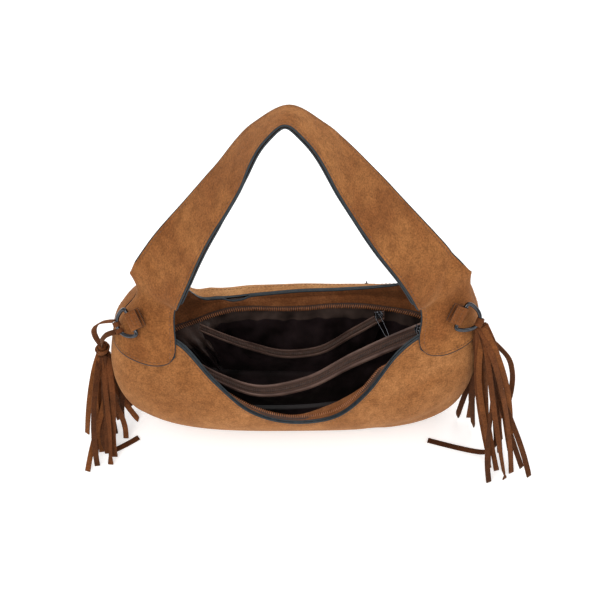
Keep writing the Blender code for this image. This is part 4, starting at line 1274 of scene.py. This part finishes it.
# ---------------------------------------------------------------- metal
@dataclass(frozen=True)
class ZipPull:
    """A slider on a zip with its puller: two plates, a bridge, a ring and a long wire loop."""

    kind: str
    place: tuple[float, float, float]
    along: tuple[float, float, float]
    up: tuple[float, float, float]
    down: tuple[float, float, float]
    length: float
    slider_body: str
    puller_body: str
    long: float = 9.0 * MM
    wide: float = 7.4 * MM
    thick: float = 3.0 * MM
    wire: float = 0.7 * MM
    rise: float = 5.0 * MM
    bridge: float = 6.0 * MM
    eye: float = 2.7 * MM

    def axes(self) -> tuple[Array, Array, Array]:
        """Directions along the zip, across it and out of it."""
        along = unit(np.array(self.along))
        up = np.array(self.up)
        up = unit(up - along * (up @ along))
        return along, np.cross(up, along), up

    def slider(self) -> None:
        """Two rounded plates a tape's thickness apart, joined by a post, with an arched bridge."""
        along, across, up = self.axes()
        place = np.array(self.place)
        work = Surface()
        angle = np.linspace(0.0, 2 * math.pi, 40, endpoint=False)
        outline = np.stack([np.cos(angle), np.sin(angle)], -1)
        outline = np.sign(outline) * np.abs(outline) ** 0.55
        outline[:, 1] *= 0.86 + 0.14 * outline[:, 0]
        for low, high in ((0.0, 0.9 * MM), (self.thick - 0.9 * MM, self.thick)):
            level = np.array([low, low, low + 0.25 * MM, high - 0.25 * MM, high, high])
            size = np.array([0.02, 0.93, 1.0, 1.0, 0.93, 0.02])
            ring = outline[None] * size[:, None, None] * (self.long / 2, self.wide / 2)
            points = place + ring[..., :1] * along + ring[..., 1:] * across + level[:, None, None] * up
            ends = [list(range(40))[::-1], list(range(200, 240))]
            work.add(points, grid_quads(6, 40, around=True), caps=ends)
        levels = np.linspace(0.4 * MM, self.thick - 0.4 * MM, 4)
        post = np.stack([place + up * h + along * 1.6 * MM for h in levels])
        add_sweep(work, post, along, round_section(1.2 * MM))
        turn = np.linspace(math.pi, 0.0, 33)
        lift = np.sin(turn) ** 0.6 * self.rise + self.thick - 0.8 * MM
        arch = place + np.cos(turn)[:, None] * along * self.bridge / 2 + lift[:, None] * up
        add_sweep(work, arch, across, strip_section(1.8 * MM, 1.2 * MM))
        work.piece(self.kind + "_slider_plates", [METAL], self.slider_body, self.kind + "_zip_slider")

    def puller(self) -> None:
        """A small ring round the bridge and a long narrow loop of wire with rounded ends."""
        along, _, up = self.axes()
        pivot = np.array(self.place) + up * (self.thick - 0.8 * MM + self.rise)
        down = np.array(self.down)
        down = unit(down - along * (down @ along))
        side = np.cross(along, down)
        angle = np.linspace(0.0, 2 * math.pi, 48, endpoint=False)[:, None]
        reach = self.eye - 2 * self.wire - 0.3 * MM
        ring = pivot + down * (reach + self.eye * np.cos(angle)) + side * self.eye * np.sin(angle)
        work = Surface()
        add_sweep(work, ring, along, round_section(self.wire), closed=True)
        start, end = reach + self.eye - 1.9 * self.wire, self.length
        middle, half = (start + end) / 2, (end - start) / 2
        cos, sin = np.cos(angle), np.sin(angle)
        width = 2.6 * MM * (1 - 0.28 * cos) * np.sign(sin) * np.abs(sin) ** 0.55
        loop = pivot + down * (middle - half * np.sign(cos) * np.abs(cos) ** 0.75 * -1) + along * width
        add_sweep(work, closed_path(loop, 90), side, round_section(0.85 * self.wire), closed=True)
        work.piece(self.kind + "_wire_pull", [METAL], self.puller_body, self.kind + "_zip_puller")

    def build(self) -> None:
        """Build the slider and its puller."""
        self.slider()
        self.puller()


@dataclass(frozen=True)
class OutsideZip:
    """Zip of the outside pocket on the back: a straight band a little off the suede."""

    low: tuple[float, float] = (-0.080, 0.076)
    high: tuple[float, float] = (0.084, 0.091)
    width: float = 12 * MM

    def build(self) -> None:
        """Build the band and its coil."""
        across = np.linspace(self.low[0], self.high[0], 90)
        height = np.linspace(self.low[1], self.high[1], 90)
        step = np.linspace(-0.5, 0.5, 17)[:, None]
        level = height[None] + step * self.width
        turns = BODY.turn_at(np.broadcast_to(across, level.shape), level)
        under = BODY.point(turns, level, BODY.fullness(turns, level) + 0.8 * MM, Half.BACK, creased=False)
        chord = under[8, 0] + (under[8, -1] - under[8, 0]) * np.linspace(0.0, 1.0, 90)[:, None]
        proud = (under[8, :, 1] - chord[:, 1]).max() + 1.6 * MM
        face = under.copy()
        ridge = (0.7 * MM * np.exp(-((step / 0.10) ** 2))
                 + 0.5 * MM * np.exp(-(((np.abs(step) - 0.42) / 0.06) ** 2)))
        face[..., 1] = np.maximum(chord[None, :, 1] + proud - 0.6 * MM * np.abs(step) + ridge - 0.5 * MM,
                                  under[..., 1] + 0.4 * MM)
        work = Surface()
        add_layer(work, face, under)
        work.piece("woven_outer_zip_tape", [TAPE], "bag", "outer_zip_tape")
        count = int(run_along(face[8])[-1] / (2.0 * MM))
        line = even_steps(face[8], count)
        coil = Surface()
        add_beads(coil, line, np.broadcast_to((0.0, 0.0, 1.0), line.shape),
                  np.broadcast_to((0.0, 1.0, 0.0), line.shape), 3.2 * MM, 1.2 * MM, 1.2 * MM)
        coil.piece("outer_zip_coil", [DARK_COIL], "bag")


@dataclass(frozen=True)
class RingSet:
    """A D ring of polished wire in a folded suede tab."""

    side: Side
    centre: tuple[float, float, float]
    normal: tuple[float, float, float]
    bar: tuple[float, float, float]
    hang: tuple[float, float, float]
    wire: float = 2.0 * MM
    width: float = 29.0 * MM
    depth: float = 21.5 * MM
    tab_width: float = 18.0 * MM
    tab_length: float = 12.0 * MM
    tab_leather: float = 1.3 * MM

    def axes(self) -> tuple[Array, Array, Array]:
        """Unit bar, hanging and normal directions, square to the bar."""
        bar = unit(np.array(self.bar))
        hang, normal = np.array(self.hang), np.array(self.normal)
        return bar, unit(hang - bar * (hang @ bar)), unit(normal - bar * (normal @ bar))

    def line(self, count: int = 160) -> Array:
        """The ring's centre line: a straight bar closed by half an oval, its corners eased."""
        bar, hang, _ = self.axes()
        straight = np.linspace(-0.5, 0.5, 13)[:-1]
        arc = np.linspace(0.0, math.pi, 25)[:-1]
        flat = np.concatenate([np.stack([straight * self.width, 0 * straight], -1),
                               np.stack([np.cos(arc) * self.width / 2, np.sin(arc) * self.depth], -1)])
        for _ in range(2):
            flat = (np.roll(flat, 1, axis=0) + 2 * flat + np.roll(flat, -1, axis=0)) / 4
        flat[:, 1] -= flat[:, 1].min()
        return closed_path(np.array(self.centre) + flat[:, :1] * bar + flat[:, 1:] * hang, count)

    def tip(self, part: float) -> Array:
        """Point of the ring's arc: part is -1 to 1 across its lowest stretch."""
        bar, hang, _ = self.axes()
        angle = math.pi / 2 + part * 0.9
        return (np.array(self.centre) + bar * math.cos(angle) * self.width / 2 * 0.97
                + hang * (math.sin(angle) * self.depth + 0.1 * MM))

    def build(self) -> None:
        """Build the ring and its tab."""
        bar, hang, normal = self.axes()
        name = self.side.value
        work = Surface()
        add_sweep(work, self.line(), np.cross(bar, hang), round_section(self.wire, 18), closed=True)
        work.piece(name + "_ring_wire", [METAL], name + "_ring", name + "_d_ring")
        up = np.cross(bar, normal)
        up *= np.sign(up[2])
        inside = self.wire + 0.4 * MM
        angle = np.linspace(0.0, -math.pi, 25)
        leg = np.linspace(self.tab_length, 0.6 * MM, 14)
        shift = np.linspace(-0.5, 0.5, 13)[None, :, None] * self.tab_width * bar
        grids = []
        for radius in (inside + self.tab_leather, inside):
            draw = 1 - 0.35 * ease(leg / self.tab_length * 1.1)
            front = np.stack([radius * draw, leg], -1)
            rear = np.stack([-radius * np.ones(14), leg[::-1]], -1)
            loop = np.concatenate([front, radius * np.stack([np.cos(angle), np.sin(angle)], -1), rear])
            grids.append(np.array(self.centre) + loop[:, None, :1] * normal + loop[:, None, 1:] * up + shift)
        tab = Surface()
        add_layer(tab, grids[0], grids[1])
        tab.piece(name + "_suede_tab", [TAB_SUEDE], "bag", name + "_ring_tab")
        seam = Surface()
        for row in (4, 9):
            add_stitches(seam, grids[0][row, 1:-1], np.broadcast_to(normal, (11, 3)), 2.6 * MM)
        seam.piece(name + "_tab_stitches", [THREAD], "bag")


# ---------------------------------------------------------------- tassels
@dataclass(frozen=True)
class Tassel:
    """Flat suede laces that hang from a ring and fan out down to the floor.

    A lace goes straight down first and then out to its end: its sideways move grows as a power of
    its way down, with a slow wave, and it is kept clear of the bag.
    """

    side: Side
    start: tuple[float, float, float]
    ends: tuple
    width: float = 6.0 * MM
    thick: float = 1.5 * MM
    spread: float = 5.0 * MM
    waves: float = 5.0 * MM

    def free_route(self, number: int) -> Array:
        """Route of a hanging lace from the start to its end."""
        seed = 1.7 * number + (0.6 if self.side is Side.LEFT else 0.0)
        end = np.array(self.ends[number])
        start = np.array(self.start) + self.spread * np.array([math.cos(seed), 0.7 * math.sin(seed), -0.4])
        part = np.linspace(0.0, 1.0, 9)[:, None]
        power = 0.95 + 0.30 * math.sin(seed * 2.3)
        level = np.array([1.0, 1.0, 0.0])
        route = start + (end - start) * (part**power * level + part * (1 - level))
        sway = np.array([math.cos(seed * 1.3), math.sin(seed * 1.9) * 0.7, 0.0])
        return route + self.waves * np.sin(math.pi * part * (1.2 + 0.5 * math.cos(seed))) * sway

    def lace(self, name: str, route: Array, number: int, turn: float = 0.0,
             nodes: tuple = ()) -> bpy.types.Object:
        """One flat lace along a route.

        Args:
            name: the lace's name.
            route: its points, from where it is held.
            number: gives its tone and its twist.
            turn: first direction of its width.
            nodes: the plain solids that it stands for.

        Returns:
            The lace.
        """
        route = BODY.clear(smooth_path(route, 60), 3.6 * MM)
        for _ in range(4):
            route[1:-1] = (route[:-2] + 2 * route[1:-1] + route[2:]) / 4
        route[:, 2] = np.maximum(route[:, 2], 0.9 * MM)
        path = even_steps(route, 64)
        part = np.linspace(0.0, 1.0, 64)
        angle = turn + 0.5 * math.sin(number * 2.1) + 0.7 * np.sin(part * 2.4 + number) * part
        flat = ease(1 - path[:, 2] / 0.012)
        side = np.stack([np.cos(angle), np.sin(angle), 0 * angle], -1)
        ground = unit(np.cross(np.gradient(path, axis=0), (0.0, 0.0, 1.0)))
        ground *= np.sign(np.sum(ground * side, -1, keepdims=True) + 1e-9)
        side = unit(side * (1 - flat[:, None]) + ground * flat[:, None])
        work = Surface()
        add_sweep(work, path, side, strip_section(self.width, self.thick))
        body = self.side.value + "_tassel"
        made = work.piece(name, [LACES[(number * 2 + number // 3) % 3]], body, *nodes)
        return made

    def hitch(self, ring: RingSet, parts: tuple) -> bpy.types.Object:
        """Laces folded over the ring: short flat loops round its wire."""
        bar, hang, _ = ring.axes()
        work = Surface()
        angle = np.linspace(0.0, 2 * math.pi, 40, endpoint=False)[:, None]
        for part in parts:
            centre = ring.tip(part)
            way = unit(bar * math.cos(part * 0.9) + hang * math.sin(part * 0.9) * 0.6)
            radial = unit(hang - way * (hang @ way))
            out = np.cross(way, radial)
            loop = centre + 3.3 * MM * (np.cos(angle) * radial + np.sin(angle) * out) + radial * 0.4 * MM
            add_sweep(work, loop, way, strip_section(4.6 * MM, 1.3 * MM), closed=True)
        return work.piece(self.side.value + "_lace_hitch", [LACES[1]], self.side.value + "_tassel")

    def knot(self, centre: tuple[float, float, float]) -> bpy.types.Object:
        """Overhand knot: a lace wound two and a half times round the others, slightly tilted."""
        turn = np.linspace(0.0, 2 * math.pi * 2.4, 120)
        share = np.linspace(-1.0, 1.0, 120)
        radius = 5.6 * MM + 1.2 * MM * np.cos(share * 2.6) + 0.5 * MM * np.sin(turn * 1.5)
        path = np.stack([radius * np.cos(turn), radius * np.sin(turn),
                         -4.4 * MM * share + 2.0 * MM * np.cos(turn + 0.7)], -1) + centre
        work = Surface()
        tilt = np.stack([0.25 * np.cos(turn), 0.25 * np.sin(turn), np.ones(120)], -1)
        add_sweep(work, path, tilt, strip_section(5.6 * MM, 1.6 * MM), scale=blunt_ends(120, 0.02))
        core = np.array(centre) + np.linspace(-1, 1, 12)[:, None] * (0, 0, 6.5 * MM)
        add_sweep(work, core, (1.0, 0.0, 0.0), round_section(4.6 * MM), scale=blunt_ends(12, 0.3))
        return work.piece("left_lace_knot", [LACES[0]], "left_tassel", "left_tassel_knot")


def build_left_tassel(ring: RingSet) -> None:
    """Two strands from the ring to a knot, and the tails below it."""
    tassel = Tassel(
        Side.LEFT, (-0.2045, -0.0125, 0.1225),
        ((-0.226, -0.084, 0.002), (-0.217, -0.080, 0.004), (-0.206, -0.080, 0.002), (-0.199, -0.073, 0.003),
         (-0.220, -0.062, 0.006), (-0.211, -0.068, 0.012), (-0.204, -0.060, 0.005), (-0.194, -0.050, 0.004),
         (-0.214, -0.052, 0.018), (-0.229, -0.050, 0.024), (-0.205, -0.040, 0.006), (-0.195, -0.026, 0.004),
         (-0.186, -0.012, 0.012), (-0.178, -0.022, 0.003), (-0.188, -0.030, 0.006), (-0.183, -0.006, 0.004),
         (-0.222, -0.070, 0.004)))
    hitch = tassel.hitch(ring, (-0.25, 0.35))
    knot = tassel.knot((-0.2045, -0.0120, 0.1285))
    tip = ring.tip(0.0)
    near = [tuple(tip + (-0.002, -0.002, -0.003)), (-0.1935, -0.0255, 0.176), (-0.2010, -0.0220, 0.160),
            (-0.2035, -0.0160, 0.146), (-0.2045, -0.0120, 0.134)]
    outer = [tuple(ring.tip(0.5) + (-0.003, 0.0, 0.002)), (-0.1990, -0.0170, 0.185), (-0.2085, -0.0130, 0.168),
             (-0.2095, -0.0110, 0.150), (-0.2055, -0.0115, 0.135)]
    tassel.lace("left_loop_lace_1", near, 1, 1.2, ("left_tassel_loop",))
    tassel.lace("left_loop_lace_2", outer, 2, 1.0)
    for number in range(len(tassel.ends)):
        nodes = ("left_tassel_laces",) if number == 0 else ()
        tassel.lace(f"left_lace_{number + 1:02d}", tassel.free_route(number), number, nodes=nodes)
    laid = [(-0.2030, -0.0160, 0.1230), (-0.2070, -0.0260, 0.0900), (-0.2090, -0.0440, 0.0520),
            (-0.2120, -0.0620, 0.0200), (-0.2080, -0.0650, 0.0050), (-0.1950, -0.0570, 0.0016),
            (-0.1770, -0.0450, 0.0014)]
    tassel.lace("left_stray_flat_lace", laid, 5, nodes=("left_stray_lace",))


def build_right_tassel(ring: RingSet) -> None:
    """Laces folded over the ring, hanging straight from it."""
    start = tuple(ring.tip(0.0) + (0.003, 0.0, -0.003))
    tassel = Tassel(
        Side.RIGHT, start,
        ((0.207, -0.100, 0.002), (0.219, -0.096, 0.002), (0.213, -0.088, 0.005), (0.233, -0.078, 0.003),
         (0.243, -0.092, 0.002), (0.239, -0.084, 0.006), (0.226, -0.090, 0.003), (0.199, -0.086, 0.006),
         (0.229, -0.066, 0.012), (0.214, -0.068, 0.014), (0.204, -0.070, 0.005), (0.222, -0.054, 0.007),
         (0.206, -0.044, 0.006), (0.194, -0.030, 0.006), (0.178, -0.016, 0.003), (0.186, -0.024, 0.004),
         (0.190, -0.008, 0.012)),
        spread=4.0 * MM)
    hitch = tassel.hitch(ring, (-0.15, 0.2))
    for number in range(len(tassel.ends)):
        first = number == 0
        route = tassel.free_route(number)
        tassel.lace(f"right_lace_{number + 1:02d}", route, number + 1,
                    nodes=("right_tassel_laces",) if first else ())
    laid = [start, (0.197, -0.030, 0.150), (0.203, -0.040, 0.100), (0.208, -0.056, 0.050),
            (0.210, -0.066, 0.018), (0.203, -0.0655, 0.0040), (0.188, -0.0620, 0.0016),
            (0.165, -0.0560, 0.0014), (0.140, -0.0485, 0.0014)]
    tassel.lace("right_stray_flat_lace", laid, 6, nodes=("right_stray_lace",))
    loose = [start, (0.1900, -0.0200, 0.165), (0.2050, -0.0150, 0.1370), (0.2180, -0.0140, 0.1140),
             (0.2245, -0.0130, 0.0900), (0.2285, -0.0120, 0.0600), (0.2280, -0.0160, 0.0320),
             (0.2220, -0.0240, 0.0080)]
    tassel.lace("right_outer_flat_lace", loose, 3, nodes=("right_outer_lace",))


# ---------------------------------------------------------------- studio
@dataclass(frozen=True)
class Studio:
    """Pale floor, soft lights and the camera."""

    elevation: float = 55.0
    distance: float = 1.4
    target: tuple[float, float, float] = (0.0, 0.0, 0.20)
    lens: float = 84.0
    sensor: float = 36.0
    floor_half: float = 6.0
    floor_sink: float = 1.0 * MM
    sky: float = 0.62

    def camera(self) -> None:
        """Camera looking down on the front of the bag."""
        made = bpy.data.cameras.new("camera")
        made.lens = self.lens
        made.sensor_width = self.sensor
        holder = bpy.data.objects.new("camera", made)
        rise = math.radians(self.elevation)
        offset = Vector((0.0, -math.cos(rise), math.sin(rise))) * self.distance
        holder.location = Vector(self.target) + offset
        holder.rotation_euler = (-offset).to_track_quat("-Z", "Y").to_euler()
        bpy.context.scene.collection.objects.link(holder)
        bpy.context.scene.camera = holder

    def light(self, name: str, place: tuple[float, float, float], size: float, power: float,
              colour: str = "#FFFFFF") -> None:
        """One square area light aimed at the bag."""
        made = bpy.data.lights.new(name, "AREA")
        made.size = size
        made.energy = power
        made.color = linear(colour)[:3]
        holder = bpy.data.objects.new(name, made)
        holder.location = place
        holder.rotation_euler = (Vector(self.target) - Vector(place)).to_track_quat("-Z", "Y").to_euler()
        bpy.context.scene.collection.objects.link(holder)

    def floor(self) -> None:
        """Large floor of matt white paper, lit a little from below so that shadows on it stay faint."""
        mesh = bpy.data.meshes.new("floor")
        corners = [(x * self.floor_half, y * self.floor_half, -self.floor_sink)
                   for x, y in ((-1, -1), (1, -1), (1, 1), (-1, 1))]
        mesh.from_pydata(corners, [], [(0, 1, 2, 3)])
        made = bpy.data.objects.new("floor", mesh)
        paper = bpy.data.materials.new("matt_paper")
        paper.use_nodes = True
        shader = paper.node_tree.nodes["Principled BSDF"]
        shader.inputs["Base Color"].default_value = (0.80, 0.80, 0.80, 1.0)
        shader.inputs["Emission Color"].default_value = (1.0, 1.0, 1.0, 1.0)
        shader.inputs["Emission Strength"].default_value = 0.45
        shader.inputs["Roughness"].default_value = 0.9
        shader.inputs["Specular IOR Level"].default_value = 0.0
        mesh.materials.append(paper)
        bpy.context.scene.collection.objects.link(made)

    def build(self) -> None:
        """Set the camera, the lights and the floor."""
        self.camera()
        self.floor()
        self.light("key", (-0.7, -1.1, 1.9), 1.3, 22.0, "#FFFDF8")
        self.light("fill", (1.3, -0.9, 1.2), 1.5, 9.0)
        self.light("back", (0.2, 1.4, 1.5), 1.4, 14.0)
        world = bpy.data.worlds.new("studio")
        world.use_nodes = True
        world.node_tree.nodes["Background"].inputs[0].default_value = (1.0, 1.0, 1.0, 1.0)
        world.node_tree.nodes["Background"].inputs[1].default_value = self.sky
        bpy.context.scene.world = world
        bpy.context.scene.view_settings.view_transform = "Standard"


# ---------------------------------------------------------------- whole bag
RINGS = (RingSet(Side.LEFT, (-0.1667, -0.0285, 0.2035), (-0.50, -0.67, 0.55), (0.43, -0.74, -0.515),
                 (-0.674, 0.116, -0.730)),
         RingSet(Side.RIGHT, (0.1595, -0.0223, 0.2046), (0.47, -0.78, 0.41), (-0.42, -0.60, -0.68),
                 (0.750, -0.150, -0.640)))
DIVIDER = ZippedPocket(
    "divider",
    ((-0.158, 0.004, 0.116), (-0.120, -0.014, 0.110), (-0.086, -0.027, 0.095), (-0.045, -0.031, 0.075),
     (0.006, -0.028, 0.085), (0.055, -0.015, 0.110), (0.090, -0.006, 0.125), (0.1285, 0.0036, 0.1390)),
    (("divider_front_wall", 0.6 * MM), ("divider_back_wall", -0.6 * MM)), (0.0, 0.014), (0.30, 0.10),
    (9 * MM, 17 * MM), "divider_zip")
POCKET = ZippedPocket(
    "pocket",
    ((-0.108, 0.041, 0.0875), (-0.092, 0.0375, 0.0805), (-0.055, 0.034, 0.062), (-0.016, 0.033, 0.0475),
     (0.020, 0.0345, 0.052), (0.0576, 0.040, 0.0800), (0.0900, 0.0478, 0.1010)),
    (("pocket_wall", 0.0),), (0.020, 0.016), (0.23, 0.05), (8 * MM, 10 * MM), "pocket_zip")


# Way out of an inner zip, and the way that its puller hangs.
UP = (0.0, 0.0, 1.0)
FORWARD = (0.0, -1.0, -0.7)


def zip_pulls() -> list[ZipPull]:
    """The four sliders with their pullers, each at the place of its plain solid."""
    pulls = [ZipPull("main", (0.1480, 0.0020, 0.1580), (1.0, 0.0, 0.1), UP, FORWARD, 26 * MM, "bag",
                     "main_puller")]
    for pocket, length in ((DIVIDER, 26 * MM), (POCKET, 30 * MM)):
        top = np.array(pocket.top)
        along = unit(top[-1] - top[-2])
        place = top[-1] - along * 6 * MM + (0.0, 0.0, 6.6 * MM)
        pulls.append(ZipPull(pocket.name, tuple(place), tuple(along), UP, FORWARD, length,
                             pocket.name + "_slider", pocket.name + "_puller"))
    pulls.append(ZipPull("outer", (0.07321, 0.09204, 0.08975), (0.99529, -0.04724, 0.0847), (0.0, 1.0, 0.0),
                         (0.0, 0.25, -1.0), 26 * MM, "outer_slider", "outer_puller"))
    return pulls


def main() -> None:
    """Build the studio, the laces and then the bag, in that order."""
    logging.basicConfig(level=logging.INFO, format="%(name)s: %(message)s")
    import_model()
    Studio().build()
    build_left_tassel(RINGS[0])
    build_right_tassel(RINGS[1])
    SuedeShell().build()
    Handle().build()
    MouthZip().build()
    LiningBag().build()
    DIVIDER.build()
    POCKET.build()
    OutsideZip().build()
    for ring in RINGS:
        ring.build()
    for pull in zip_pulls():
        pull.build()


if __name__ == "__main__":
    main()
